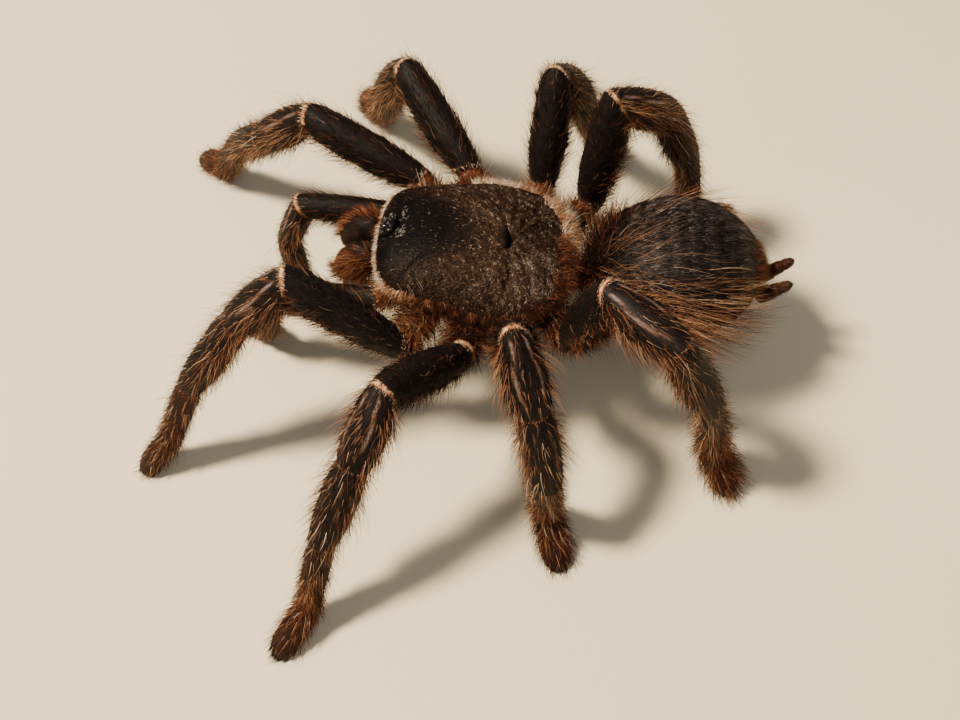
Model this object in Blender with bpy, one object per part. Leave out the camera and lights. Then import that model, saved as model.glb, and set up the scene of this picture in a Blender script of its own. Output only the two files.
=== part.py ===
"""A tarantula at life size, standing with its body raised on eight legs.

Lengths are in millimetres and angles in degrees, and MM turns them into Blender's metres.
+Z is up, the head points to -Y and the animal's own left side is +X. The last lines move
the finished animal so that the origin lies on the floor under the middle of its span.

The trunk parts are laid out in a body frame: the origin at the middle of the carapace, level
with its highest point. trunk_point tilts that frame and lifts it over the floor.
"""

import math

import bmesh
import bpy
from mathutils import Vector

MM = 0.001
JOINT_GAP = 0.3
UP = Vector((0, 0, 1))

# The trunk's place over the floor.
TRUNK_TOP = 40.0
TRUNK_PITCH = -5.0

# The carapace, the shield over the front half of the body.
CARAPACE_UNDERSIDE = -8.0
CARAPACE_RIM = 1.4
CARAPACE_UNDERCUT = 0.8
# Along the shield from its rounded front to its rear, in the body frame: its half-width,
# and the height of its middle line.
CARAPACE_OUTLINE = (
    (-18.3, 3.0),
    (-18.0, 5.6),
    (-17.3, 8.0),
    (-16.2, 9.9),
    (-14.4, 11.2),
    (-10.0, 12.3),
    (-3.5, 13.6),
    (2.0, 14.5),
    (8.3, 13.6),
    (13.0, 10.9),
    (15.5, 8.0),
    (16.6, 5.2),
)
CARAPACE_CREST = (
    (-18.3, -5.4),
    (-17.8, -4.0),
    (-16.8, -2.7),
    (-14.6, -1.3),
    (-8.0, 0.0),
    (1.7, -1.0),
    (10.0, -2.4),
    (14.1, -3.8),
    (16.6, -5.2),
)
CARAPACE_RINGS = (
    -18.3, -18, -17.3, -16.2, -14.4, -12, -8.5, -4.5, -0.5, 3.5, 4.7, 5.6, 6.7, 8.7, 10.8, 13,
    15.2, 16.6,
)
CARAPACE_STEPS = 12
# How steeply the dome falls at its sides: higher is flatter on top.
CARAPACE_SQUARENESS = 2.4
# The fovea, a crosswise pit where the muscles of the gut are fixed inside.
FOVEA_PLACE = 5.4
FOVEA_DEPTH = 1.1
FOVEA_HALF_WIDTH = 2.4
FOVEA_HALF_LENGTH = 1.3

# The breastplate, an oval plate under the carapace, and the coxae that spring from it.
BREASTPLATE_HALF_WIDTH = 7.6
BREASTPLATE_HALF_LENGTH = 12.2
BREASTPLATE_PLACE = 0.6
BREASTPLATE_UNDERSIDE = -15.6
BREASTPLATE_SIDES = 20
COXA_ROOT_ACROSS = 6.0
COXA_ROOT_HEIGHT = -12.4
COXA_ROOT_NARROWING = 34
COXA_HALF_HEIGHT = 3.0
COXA_SAG = 1.1

# The legs. Their coxae meet the femora this far below the top of the carapace.
HIP_DROP = 9.6
PALP_HIP_DROP = 10.8
LEG_SIDES = 10
# How deep the soft pad at a foot's tip is pressed flat by the floor.
PAD_PRESS = 0.75
# The share of a segment's length over which the slant of its end dies out.
LEAN_REACH = 0.45

# Lengths of femur, patella, tibia, metatarsus and tarsus of each pair of legs.
LEG_LENGTHS = {
    1: (24.0, 15.0, 18.5, 17.5, 11.0),
    2: (22.5, 14.0, 16.5, 16.0, 11.0),
    3: (20.5, 13.0, 15.0, 18.0, 11.0),
    4: (23.5, 13.5, 18.5, 22.5, 10.8),
}

# Each leg: its hip in the body frame (x, y), the headings of its five segments and the
# pitches of the first four. The tarsus is pitched so that its pad reaches the floor.
LEG_POSES = {
    "left_1": ((19.6, -11.4), (-90, -79, -66, -68, -70), (46, -43, -51, -63)),
    "left_2": ((20.2, -0.4), (-31, -31, -35, -35, -35), (35, -44, -51, -65)),
    "left_3": ((17.8, 8.6), (11, 24, 22, 20, 20), (61, -51, -66, -103)),
    "left_4": ((14.8, 17.6), (55, 55, 86, 165, 48), (67, -8, -70, -78)),
    "right_1": ((-16.2, -12.2), (256, 256, 230, 230, 230), (27, -39, -44, -57)),
    "right_2": ((-19.0, -3.6), (222, 222, 207, 205, 212), (31, -52, -57, -52)),
    "right_3": ((-18.0, 9.6), (165, 165, 168, 168, 168), (61, -50, -66, -63)),
    "right_4": ((-15.0, 18.6), (128, 128, 127, 132, 131), (75, -38, -72, -85)),
}

# The palps: lengths of femur, patella, tibia and tarsus, and poses laid out as for the legs.
PALP_LENGTHS = (16.5, 11.0, 12.5, 13.0)
PALP_POSES = {
    "left": ((9.6, -16.8), (-93, -112, -132, -134), (-8, -42, -78)),
    "right": ((-9.4, -17.0), (276, 276, 273, 273), (11, -64, -89)),
}

# Profiles from the near end to the far end: fraction of the length, half-width, half-height.
# They take in the dense coat, which is a little over a millimetre deep on the legs.
FEMUR = (
    (0, 2.7, 2.8),
    (0.16, 3.5, 3.8),
    (0.45, 4.2, 4.5),
    (0.75, 4.1, 4.4),
    (0.92, 3.7, 3.8),
    (1, 3.1, 3.1),
)
PATELLA = ((0, 3.1, 3.1), (0.24, 4.1, 4.1), (0.5, 4.6, 4.5), (0.8, 4.2, 4.1), (1, 3.4, 3.3))
TIBIA = ((0, 3.3, 3.2), (0.2, 4.0, 3.9), (0.55, 4.0, 3.9), (0.85, 3.5, 3.4), (1, 2.8, 2.8))
METATARSUS = ((0, 2.6, 2.6), (0.18, 3.0, 3.0), (0.6, 2.7, 2.8), (1, 2.6, 2.7))
TARSUS = ((0.35, 3.0, 2.8), (0.7, 3.2, 2.6), (0.9, 2.7, 2.0), (1, 1.5, 1.3))
PALP_PROFILES = {
    "femur": ((0, 2.2, 2.3), (0.2, 2.6, 2.9), (0.55, 3.0, 3.2), (0.85, 3.0, 3.1), (1, 2.5, 2.6)),
    "patella": ((0, 2.5, 2.6), (0.3, 3.1, 3.1), (0.7, 3.1, 3.0), (1, 2.5, 2.5)),
    "tibia": ((0, 2.5, 2.5), (0.3, 2.9, 2.9), (0.75, 2.7, 2.8), (1, 2.4, 2.4)),
    "tarsus": ((0, 2.4, 2.4), (0.35, 2.8, 2.7), (0.75, 2.7, 2.4), (0.93, 2.1, 1.8), (1, 1.1, 1.0)),
}

# The abdomen, an egg whose long axis leans a little to the right.
ABDOMEN_FRONT = Vector((-0.3, 17.4, 28.6))
ABDOMEN_REAR = Vector((-2.9, 50.2, 28.4))
ABDOMEN_HALF_WIDTH = 14.2
ABDOMEN_HALF_HEIGHT = 12.5
ABDOMEN_RISE = 0.8
ABDOMEN_RINGS = 13
ABDOMEN_SIDES = 20

# The waist: where it starts in the body frame, and its half-width and half-height.
PEDICEL_START = (0, 13.4, -11.5)
PEDICEL_SIZE = (2.2, 2.0)

# Spinnerets: where they leave the abdomen, and their tips.
SPINNERETS = {
    "left": (Vector((-0.6, 50.6, 23.8)), Vector((0.4, 54.6, 28.6))),
    "right": (Vector((-4.8, 50.8, 24.4)), Vector((-4.2, 54.8, 29.3))),
}
SPINNERET_PROFILE = ((0, 1.6), (0.3, 1.5), (0.55, 1.35), (0.85, 1.1), (1, 0.5))

# The jaws and fangs.
CHELICERA_MIDDLE = 3.2
CHELICERA_STATIONS = (
    # place along the body, half-width, top, bottom
    (-18.8, 2.5, -5.2, -12.0),
    (-19.7, 2.9, -4.4, -12.9),
    (-21.3, 3.0, -4.4, -13.5),
    (-23.2, 2.8, -5.6, -13.6),
    (-24.8, 2.3, -7.5, -13.0),
    (-25.7, 1.2, -9.3, -12.1),
)
CHELICERA_SIDES = 12
FANG_ROOT = (-24.0, -15.1)
FANG_LENGTH = 6.8
FANG_BOW = 1.7
FANG_RINGS = 6

# The eyes stand on a low mound.
MOUND_PLACE = -16.0
MOUND_SIZE = Vector((2.2, 1.5, 1.1))
MOUND_GAP = 0.12
# Rings of the mound from the middle of its underside over its rim to its top: the share of
# its width and the share of its height.
MOUND_RINGS = ((0.2, 0), (0.6, 0), (1, 0), (0.95, 0.3), (0.8, 0.6), (0.53, 0.85), (0.24, 0.97))
# Each eye's place on the mound, across and forward from its middle, and its radius.
EYES = {
    "front_middle": (0.62, 0.55, 0.46),
    "front_side": (1.42, 0.85, 0.44),
    "rear_side": (1.62, -0.35, 0.38),
    "rear_middle": (0.98, -0.62, 0.28),
}
EYE_GAP = 0.05
EYE_SINK = 0.1


def clear_scene():
    for obj in list(bpy.data.objects):
        bpy.data.objects.remove(obj)


def make_material(name, colour, roughness, metallic=0.0):
    material = bpy.data.materials.new(name)
    material.use_nodes = True
    shader = material.node_tree.nodes["Principled BSDF"]
    shader.inputs["Base Color"].default_value = (*colour, 1)
    shader.inputs["Roughness"].default_value = roughness
    shader.inputs["Metallic"].default_value = metallic
    return material


def direction(heading, pitch):
    """The unit vector that points along a heading in the floor plane and climbs at a pitch."""
    heading = math.radians(heading)
    pitch = math.radians(pitch)
    level = math.cos(pitch)
    return Vector((level * math.cos(heading), level * math.sin(heading), math.sin(pitch)))


def trunk_point(x, y, z):
    """A point of the body frame, tilted head up and lifted to the trunk's height."""
    tilt = math.radians(TRUNK_PITCH)
    back = y * math.cos(tilt) - z * math.sin(tilt)
    high = y * math.sin(tilt) + z * math.cos(tilt)
    return Vector((x, back, TRUNK_TOP + high))


def smooth_value(stations, place):
    """The value at a place, on a smooth curve through (place, value) stations that never
    swings past them."""
    rises = [(b[1] - a[1]) / (b[0] - a[0]) for a, b in zip(stations, stations[1:])]
    slopes = [rises[0]]
    for before, after in zip(rises, rises[1:]):
        slopes.append(2 * before * after / (before + after) if before * after > 0 else 0.0)
    slopes.append(rises[-1])
    for number, ((low, first), (high, second)) in enumerate(zip(stations, stations[1:])):
        if place <= high:
            share = max(0.0, (place - low) / (high - low))
            rise = second - first
            leave = slopes[number] * (high - low)
            arrive = slopes[number + 1] * (high - low)
            bend = 3 * rise - 2 * leave - arrive
            return first + share * (leave + share * (bend + share * (leave + arrive - 2 * rise)))
    return stations[-1][1]


def ring(centre, along, dorsal, half_width, half_height, cut=None, lean=0.0, sides=LEG_SIDES):
    """An ellipse of points round an axis. lean slides it into the plane square to cut."""
    side = along.cross(dorsal)
    points = []
    for step in range(sides):
        angle = 2 * math.pi * (step + 0.5) / sides
        offset = side * (half_width * math.cos(angle)) + dorsal * (half_height * math.sin(angle))
        slide = 0.0
        if cut is not None:
            slide = -lean * offset.dot(cut) / along.dot(cut)
        points.append(centre + offset + along * slide)
    return points


def skin_rings(mesh, rings):
    """Joins rings of points into one closed body with flat ends."""
    shell = bmesh.new()
    loops = [[shell.verts.new(point * MM) for point in points] for points in rings]
    for near, far in zip(loops, loops[1:]):
        for step in range(len(near)):
            after = (step + 1) % len(near)
            shell.faces.new((near[step], near[after], far[after], far[step]))
    shell.faces.new(loops[0])
    shell.faces.new(loops[-1])
    bmesh.ops.recalc_face_normals(shell, faces=shell.faces)
    shell.to_mesh(mesh)
    shell.free()


def add_body(name, rings, material):
    """One named object from rings of points, shaded smooth apart from its sharp rims."""
    mesh = bpy.data.meshes.new(name)
    skin_rings(mesh, rings)
    mesh.materials.append(material)
    mesh.shade_smooth()
    mesh.set_sharp_from_angle(angle=math.radians(50))
    obj = bpy.data.objects.new(name, mesh)
    bpy.context.scene.collection.objects.link(obj)
    return obj


def segment_rings(start, end, dorsal, profile, start_cut, end_cut):
    """Rings of a limb segment. Its ends lie in the planes that halve the bends at its joints,
    half a gap short of the joint, and that lean dies out towards the middle."""
    along = (end - start).normalized()
    length = (end - start).length
    rings = []
    for share, half_width, half_height in profile:
        centre = start + along * (share * length)
        near_lean = max(0.0, 1 - share / LEAN_REACH)
        far_lean = max(0.0, 1 - (1 - share) / LEAN_REACH)
        cut = start_cut if near_lean > far_lean else end_cut
        lean = max(near_lean, far_lean)
        if share == 0 and start_cut is not None:
            centre += along * (JOINT_GAP / 2 / along.dot(start_cut))
        if share == 1 and end_cut is not None:
            centre -= along * (JOINT_GAP / 2 / along.dot(end_cut))
        rings.append(ring(centre, along, dorsal, half_width, half_height, cut, lean))
    return rings


def tarsus_pitch(height, length, profile):
    """The pitch at which a tarsus that starts at this height just presses its pad, the last
    two rings of its profile, on the floor."""
    pitch = 0.0
    for _ in range(12):
        falls = [1.0]
        for share, half_width, half_height in profile[-2:]:
            clearance = half_height * math.cos(pitch) - PAD_PRESS
            falls.append((height - clearance) / (share * length))
        pitch = -math.asin(min(falls))
    return math.degrees(pitch)


def limb_course(hip, headings, pitches, lengths, tarsus_profile):
    """Joint points and upper-side directions along a limb. The last segment is pitched so
    that its pad comes down to the floor. The upper side follows the bends without twisting."""
    points = [hip]
    tops = [direction(headings[0], pitches[0] + 90)]
    before = direction(headings[0], pitches[0])
    for number, (heading, length) in enumerate(zip(headings, lengths)):
        if number < len(pitches):
            pitch = pitches[number]
        else:
            pitch = tarsus_pitch(points[-1].z, length, tarsus_profile)
        along = direction(heading, pitch)
        points.append(points[-1] + along * length)
        if number > 0:
            tops.append(before.rotation_difference(along) @ tops[-1])
        before = along
    return points, tops


def halving_normals(points, first_axis):
    """The normals of the planes that halve each bend, from the hip to the last joint."""
    axes = [first_axis] + [(b - a).normalized() for a, b in zip(points, points[1:])]
    return [(before + after).normalized() for before, after in zip(axes, axes[1:])]


def rest_on_floor(rings):
    """Flattens whatever would dip under the floor into a level sole."""
    return [[Vector((p.x, p.y, max(p.z, 0.0))) for p in points] for points in rings]


def coxa_axis(hip, drop):
    """From the rim of the breastplate out to a hip: the start, the end and the direction."""
    x, y = hip
    across = math.copysign(COXA_ROOT_ACROSS, x) * (1 - abs(y) / COXA_ROOT_NARROWING)
    inner = trunk_point(across, y * 0.5, COXA_ROOT_HEIGHT)
    outer = trunk_point(x, y, -drop)
    return inner, outer, (outer - inner).normalized()


def add_leg(name, pose, lengths, material):
    """A leg beyond its coxa: femur, patella, tibia, and metatarsus and tarsus as one foot."""
    hip_place, headings, pitches = pose
    hip, coxa_direction = coxa_axis(hip_place, HIP_DROP)[1:]
    points, tops = limb_course(hip, headings, pitches, lengths, TARSUS)
    cuts = halving_normals(points, coxa_direction) + [None]
    profiles = (FEMUR, PATELLA, TIBIA, METATARSUS, TARSUS)
    courses = []
    for number, profile in enumerate(profiles):
        start, end = points[number], points[number + 1]
        near_cut, far_cut = cuts[number], cuts[number + 1]
        courses.append(segment_rings(start, end, tops[number], profile, near_cut, far_cut))
    femur, patella, tibia, metatarsus, tarsus = courses
    add_body(f"leg_{name}_femur", femur, material)
    add_body(f"leg_{name}_patella", patella, material)
    add_body(f"leg_{name}_tibia", tibia, material)
    add_body(f"leg_{name}_foot", rest_on_floor(metatarsus + tarsus), material)


def add_palp(name, pose, material):
    """A palp beyond its coxa: femur, patella, tibia and tarsus."""
    hip_place, headings, pitches = pose
    hip, coxa_direction = coxa_axis(hip_place, PALP_HIP_DROP)[1:]
    tarsus = PALP_PROFILES["tarsus"]
    points, tops = limb_course(hip, headings, pitches, PALP_LENGTHS, tarsus)
    cuts = halving_normals(points, coxa_direction) + [None]
    for number, (part, profile) in enumerate(PALP_PROFILES.items()):
        start, end = points[number], points[number + 1]
        near_cut, far_cut = cuts[number], cuts[number + 1]
        rings = segment_rings(start, end, tops[number], profile, near_cut, far_cut)
        add_body(f"palp_{name}_{part}", rest_on_floor(rings), material)


def carapace_half_width(y):
    """Half the shield's width: a broad head, widest behind the middle, a narrower rear."""
    return smooth_value(CARAPACE_OUTLINE, y)


def carapace_height(x, y):
    """Height of the shield's upper side over the body frame's origin."""
    across = min(1.0, abs(x) / carapace_half_width(y))
    rim = CARAPACE_UNDERSIDE + CARAPACE_RIM
    crest = smooth_value(CARAPACE_CREST, y)
    dome = rim + (crest - rim) * math.sqrt(1 - across ** CARAPACE_SQUARENESS)
    pit_across = x / FOVEA_HALF_WIDTH
    pit_along = (y - FOVEA_PLACE) / FOVEA_HALF_LENGTH
    return dome - FOVEA_DEPTH * math.exp(-(pit_across ** 2) - pit_along ** 2)


def add_carapace(material):
    """The shield, a dome over a flat underside, with the pit of the fovea behind its middle."""
    rings = []
    for y in CARAPACE_RINGS:
        half_width = carapace_half_width(y)
        points = []
        for step in range(CARAPACE_STEPS + 1):
            x = half_width * math.cos(math.pi * step / CARAPACE_STEPS)
            points.append(trunk_point(x, y, carapace_height(x, y)))
        lower = half_width - CARAPACE_UNDERCUT
        points.append(trunk_point(-lower, y, CARAPACE_UNDERSIDE))
        points.append(trunk_point(lower, y, CARAPACE_UNDERSIDE))
        rings.append(points)
    add_body("carapace", rings, material)


def add_union(name, pieces):
    """Joins overlapping closed bodies into one by Boolean union."""
    whole = pieces[0]
    for piece in pieces[1:]:
        union = whole.modifiers.new("join", "BOOLEAN")
        union.operation = "UNION"
        union.object = piece
        piece.hide_render = True
        piece.display_type = "WIRE"
    whole.name = name


def add_breastplate(material):
    """An oval plate, rounded in below, that ends just clear of the carapace."""
    rings = []
    thickness = CARAPACE_UNDERSIDE - JOINT_GAP - BREASTPLATE_UNDERSIDE
    for share, spread in ((0, 0.72), (0.3, 0.95), (0.7, 1.0), (1, 0.96)):
        points = []
        for step in range(BREASTPLATE_SIDES):
            angle = 2 * math.pi * (step + 0.5) / BREASTPLATE_SIDES
            x = BREASTPLATE_HALF_WIDTH * spread * math.cos(angle)
            y = BREASTPLATE_PLACE + BREASTPLATE_HALF_LENGTH * spread * math.sin(angle)
            points.append(trunk_point(x, y, BREASTPLATE_UNDERSIDE + share * thickness))
        rings.append(points)
    return add_body("breastplate", rings, material)


def add_coxa(name, pose, drop, end_radius, material):
    """A coxa with its short trochanter, sagging a little between breastplate and hip."""
    hip_place, headings, pitches = pose
    inner, outer, along = coxa_axis(hip_place, drop)
    cut = (along + direction(headings[0], pitches[0])).normalized()
    dorsal = (UP - along * along.z).normalized()
    middle = inner.lerp(outer, 0.6) - UP * COXA_SAG
    neck = inner.lerp(outer, 0.82) - UP * (0.8 * COXA_SAG)
    end = outer - along * (JOINT_GAP / 2 / along.dot(cut))
    height = COXA_HALF_HEIGHT
    rings = [
        ring(inner, along, dorsal, end_radius - 0.5, height),
        ring(middle, along, dorsal, end_radius + 0.35, height),
        ring(neck, along, dorsal, end_radius + 0.2, 0.87 * height, cut, 0.4),
        ring(end, along, dorsal, end_radius, end_radius, cut, 1.0),
    ]
    return add_body(name, rings, material)


def add_coxae(material):
    """The breastplate and the ten coxae that fan out from it, joined under the carapace."""
    pieces = [add_breastplate(material)]
    leg_radius = FEMUR[0][1]
    for name, pose in LEG_POSES.items():
        pieces.append(add_coxa(f"coxa_{name}", pose, HIP_DROP, leg_radius, material))
    palp_radius = PALP_PROFILES["femur"][0][1]
    for name, pose in PALP_POSES.items():
        pieces.append(add_coxa(f"coxa_palp_{name}", pose, PALP_HIP_DROP, palp_radius, material))
    add_union("breastplate_and_coxae", pieces)


def add_abdomen(material):
    """The abdomen, a loft along its own axis with an egg's profile."""
    axis = (ABDOMEN_REAR - ABDOMEN_FRONT).normalized()
    length = (ABDOMEN_REAR - ABDOMEN_FRONT).length
    dorsal = (UP - axis * axis.z).normalized()
    rings = []
    for step in range(ABDOMEN_RINGS):
        turn = math.pi * (0.04 + 0.92 * step / (ABDOMEN_RINGS - 1))
        share = (1 - math.cos(turn)) / 2
        fullness = math.sin(turn) ** 0.86 * (0.93 + 0.07 * math.sin(math.pi * share ** 1.5))
        centre = ABDOMEN_FRONT + axis * (share * length)
        centre += dorsal * (ABDOMEN_RISE * math.sin(turn))
        half_width = ABDOMEN_HALF_WIDTH * fullness
        half_height = ABDOMEN_HALF_HEIGHT * fullness
        rings.append(ring(centre, axis, dorsal, half_width, half_height, sides=ABDOMEN_SIDES))
    add_body("abdomen", rings, material)


def add_pedicel(material):
    """The narrow waist between the breastplate and the abdomen."""
    start = trunk_point(*PEDICEL_START)
    end = ABDOMEN_FRONT + Vector((0, -0.5, -0.6))
    axis = (end - start).normalized()
    dorsal = (UP - axis * axis.z).normalized()
    half_width, half_height = PEDICEL_SIZE
    rings = []
    for share in (0, 0.5, 1):
        rings.append(ring(start.lerp(end, share), axis, dorsal, half_width, half_height))
    add_body("pedicel", rings, material)


def add_spinneret(name, base, tip, material):
    """A long rear spinneret of three joints, thinner at each."""
    axis = (tip - base).normalized()
    dorsal = (UP - axis * axis.z).normalized()
    rings = []
    for share, radius in SPINNERET_PROFILE:
        rings.append(ring(base.lerp(tip, share), axis, dorsal, radius, radius, sides=8))
    add_body(f"spinneret_{name}", rings, material)


def add_chelicera(name, side, material):
    """One jaw: a deep rounded block that juts out under the front of the carapace."""
    rings = []
    for y, half_width, top, bottom in CHELICERA_STATIONS:
        points = []
        for step in range(CHELICERA_SIDES):
            angle = 2 * math.pi * (step + 0.5) / CHELICERA_SIDES
            x = side * CHELICERA_MIDDLE + half_width * math.cos(angle)
            z = (top + bottom) / 2 + (top - bottom) / 2 * math.sin(angle)
            points.append(trunk_point(x, y, z))
        rings.append(points)
    add_body(f"chelicera_{name}", rings, material)


def add_fang(name, side, material):
    """A fang folded back under its jaw, bowed downwards, tapering to its point."""
    root_y, root_z = FANG_ROOT
    rings = []
    for step in range(FANG_RINGS):
        share = step / (FANG_RINGS - 1)
        turn = 0.8 * math.pi * share
        y = root_y + FANG_LENGTH * share
        z = root_z - FANG_BOW * math.sin(turn)
        slope = -FANG_BOW * 0.8 * math.pi * math.cos(turn) / FANG_LENGTH
        centre = trunk_point(side * (CHELICERA_MIDDLE - 0.9 * share), y, z)
        along = (trunk_point(0, 1, slope) - trunk_point(0, 0, 0)).normalized()
        dorsal = along.cross(Vector((-1, 0, 0))).normalized()
        radius = 0.3 + 0.85 * (1 - share) ** 0.8
        rings.append(ring(centre, along, dorsal, radius, radius, sides=8))
    add_body(f"fang_{name}", rings, material)


def ball_rings(centre, radius):
    """Rings of a ball that stands on its lower pole."""
    count = 6
    rings = []
    for step in range(count):
        turn = math.pi * (0.06 + 0.88 * step / (count - 1))
        level = centre - UP * (radius * math.cos(turn))
        spread = radius * math.sin(turn)
        rings.append(ring(level, UP, Vector((0, 1, 0)), spread, spread, sides=8))
    return rings


def mound_point(across, forward, rise):
    """A point this far over the mound's underside, which lies just clear of the carapace."""
    y = MOUND_PLACE - forward
    return trunk_point(across, y, carapace_height(across, y) + MOUND_GAP + rise)


def eye_place(across, forward):
    """The middle of an eye, just under the surface of the mound."""
    share = 1 - (across / MOUND_SIZE.x) ** 2 - (forward / MOUND_SIZE.y) ** 2
    return mound_point(across, forward, MOUND_SIZE.z * math.sqrt(share) - EYE_SINK)


def add_eyes(mound_material, eye_material):
    """The eye mound with a socket for each of the eight eyes, and the eyes in them."""
    rings = []
    for spread, share in MOUND_RINGS:
        points = []
        for step in range(16):
            angle = 2 * math.pi * (step + 0.5) / 16
            across = MOUND_SIZE.x * spread * math.cos(angle)
            forward = MOUND_SIZE.y * spread * math.sin(angle)
            points.append(mound_point(across, forward, MOUND_SIZE.z * share))
        rings.append(points)
    mound = add_body("eye_mound", rings, mound_material)
    for place, (across, forward, radius) in EYES.items():
        for name, side in (("left", 1), ("right", -1)):
            centre = eye_place(side * across, forward)
            hollow = ball_rings(centre, radius + EYE_GAP)
            socket = add_body(f"socket_{place}_{name}", hollow, mound_material)
            socket.hide_render = True
            socket.display_type = "WIRE"
            cut = mound.modifiers.new("socket", "BOOLEAN")
            cut.operation = "DIFFERENCE"
            cut.object = socket
            add_body(f"eye_{place}_{name}", ball_rings(centre, radius), eye_material)


def stand_over_origin():
    """Moves every piece so that the origin is on the floor under the middle of the span."""
    bpy.context.view_layer.update()
    corners = []
    for obj in bpy.context.scene.objects:
        if not obj.hide_render:
            corners += [obj.matrix_world @ Vector(corner) for corner in obj.bound_box]
    middle = Vector()
    for axis in (0, 1):
        middle[axis] = (min(c[axis] for c in corners) + max(c[axis] for c in corners)) / 2
    for obj in bpy.context.scene.objects:
        obj.location -= middle


def build():
    clear_scene()
    shell = make_material("carapace_shell", (0.030, 0.020, 0.014), 0.5)
    leg_coat = make_material("leg_coat", (0.045, 0.022, 0.012), 0.75)
    body_coat = make_material("abdomen_coat", (0.040, 0.026, 0.020), 0.85)
    jaw_coat = make_material("jaw_coat", (0.110, 0.055, 0.025), 0.8)
    horn = make_material("fang_horn", (0.010, 0.006, 0.005), 0.2)
    eye_glass = make_material("eye_lens", (0.012, 0.010, 0.009), 0.08)
    spinner = make_material("spinneret_cuticle", (0.080, 0.022, 0.012), 0.6)
    add_carapace(shell)
    add_eyes(shell, eye_glass)
    add_coxae(leg_coat)
    add_pedicel(leg_coat)
    add_abdomen(body_coat)
    for name, pose in LEG_POSES.items():
        add_leg(name, pose, LEG_LENGTHS[int(name[-1])], leg_coat)
    for name, pose in PALP_POSES.items():
        add_palp(name, pose, leg_coat)
    for name, side in (("left", 1), ("right", -1)):
        add_chelicera(name, side, jaw_coat)
        add_fang(name, side, horn)
        add_spinneret(name, *SPINNERETS[name], spinner)
    stand_over_origin()


build()
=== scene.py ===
"""The looks of a tarantula that stands with its body raised on eight legs.

One skin takes the place of the flesh, the shield, eyes, fangs and claws are pieces of their
own, and the coat grows from the skin as thousands of fine bristles. Lengths are in
millimetres and angles in degrees until MM turns them into Blender's metres. The head points
to -Y and the animal's own left side is +X.
"""

import math

import bpy
import numpy as np
from mathutils import Matrix, Vector


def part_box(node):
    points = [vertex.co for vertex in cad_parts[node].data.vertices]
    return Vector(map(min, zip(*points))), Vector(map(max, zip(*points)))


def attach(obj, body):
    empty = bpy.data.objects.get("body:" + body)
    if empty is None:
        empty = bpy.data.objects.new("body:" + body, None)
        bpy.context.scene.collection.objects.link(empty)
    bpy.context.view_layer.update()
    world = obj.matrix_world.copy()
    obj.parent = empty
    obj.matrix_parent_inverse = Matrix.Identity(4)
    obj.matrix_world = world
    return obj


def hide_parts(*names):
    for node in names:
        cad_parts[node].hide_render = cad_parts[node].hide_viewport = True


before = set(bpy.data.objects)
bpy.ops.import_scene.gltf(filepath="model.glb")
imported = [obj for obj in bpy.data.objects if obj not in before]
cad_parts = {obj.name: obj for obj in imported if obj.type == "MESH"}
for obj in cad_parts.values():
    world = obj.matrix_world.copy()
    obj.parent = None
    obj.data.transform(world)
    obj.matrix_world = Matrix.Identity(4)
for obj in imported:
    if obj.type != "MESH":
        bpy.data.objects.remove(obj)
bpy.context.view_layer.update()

# ---------------------------------------------------------------------------------------
# The skin: legs, palps, jaws, breastplate, waist, abdomen and spinnerets as one hide.
# A spider's hide is stiff cuticle in tubes, joined by soft pale membranes at each bend.
# Every tube is a loft of rings round a bent course, a coat's depth inside the solids.

MM = 0.001
UP = np.array((0.0, 0.0, 1.0))
TRUNK_TOP = 40.0
TRUNK_TILT = math.radians(-5)
SHIELD_REAR = (16.6, -5.2)

shield_low, shield_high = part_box("carapace")
shield_rear = SHIELD_REAR[0] * math.cos(TRUNK_TILT) - SHIELD_REAR[1] * math.sin(TRUNK_TILT)
ORIGIN = np.array((
    (shield_low.x + shield_high.x) / 2 / MM,
    shield_high.y / MM - shield_rear,
    0.0,
))


def unit(vectors):
    vectors = np.asarray(vectors, float)
    return vectors / np.maximum(np.linalg.norm(vectors, axis=-1, keepdims=True), 1e-9)


def trunk_point(x, y, z):
    """Points of the trunk's own frame, tilted head up and lifted over the floor."""
    x, y, z = np.broadcast_arrays(np.asarray(x, float), y, z)
    back = y * math.cos(TRUNK_TILT) - z * math.sin(TRUNK_TILT)
    high = y * math.sin(TRUNK_TILT) + z * math.cos(TRUNK_TILT)
    return np.stack((x, back, TRUNK_TOP + high), -1) + ORIGIN


def smooth(stations, places):
    """Values on a smooth curve through (place, value) stations that never swings past them."""
    at, value = np.asarray(stations, float).T
    step = np.diff(at)
    rise = np.diff(value) / step
    product = rise[:-1] * rise[1:]
    total = np.where(product > 0, rise[:-1] + rise[1:], 1.0)
    inner = np.where(product > 0, 2 * product / total, 0.0)
    slope = np.concatenate((rise[:1], inner, rise[-1:]))
    spots = np.clip(np.asarray(places, float), at[0], at[-1])
    before = np.clip(np.searchsorted(at, spots, side="right") - 1, 0, len(step) - 1)
    t = (spots - at[before]) / step[before]
    leave, arrive = slope[before] * step[before], slope[before + 1] * step[before]
    climb = value[before + 1] - value[before]
    bend = 3 * climb - 2 * leave - arrive
    return value[before] + t * (leave + t * (bend + t * (leave + arrive - 2 * climb)))


def direction(heading, pitch):
    heading, pitch = math.radians(heading), math.radians(pitch)
    level = math.cos(pitch)
    return np.array((level * math.cos(heading), level * math.sin(heading), math.sin(pitch)))


def turned(vector, before, after):
    """The vector carried round by the shortest turn from one direction to another."""
    turn = Vector(before).rotation_difference(Vector(after))
    return np.array(turn @ Vector(vector))


LIMB_SIDES = 36


def side_angles(count):
    """The angle of each side of a ring, in radians; a quarter turn is the upper side."""
    return 2 * math.pi * (np.arange(count) + 0.5) / count


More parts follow.
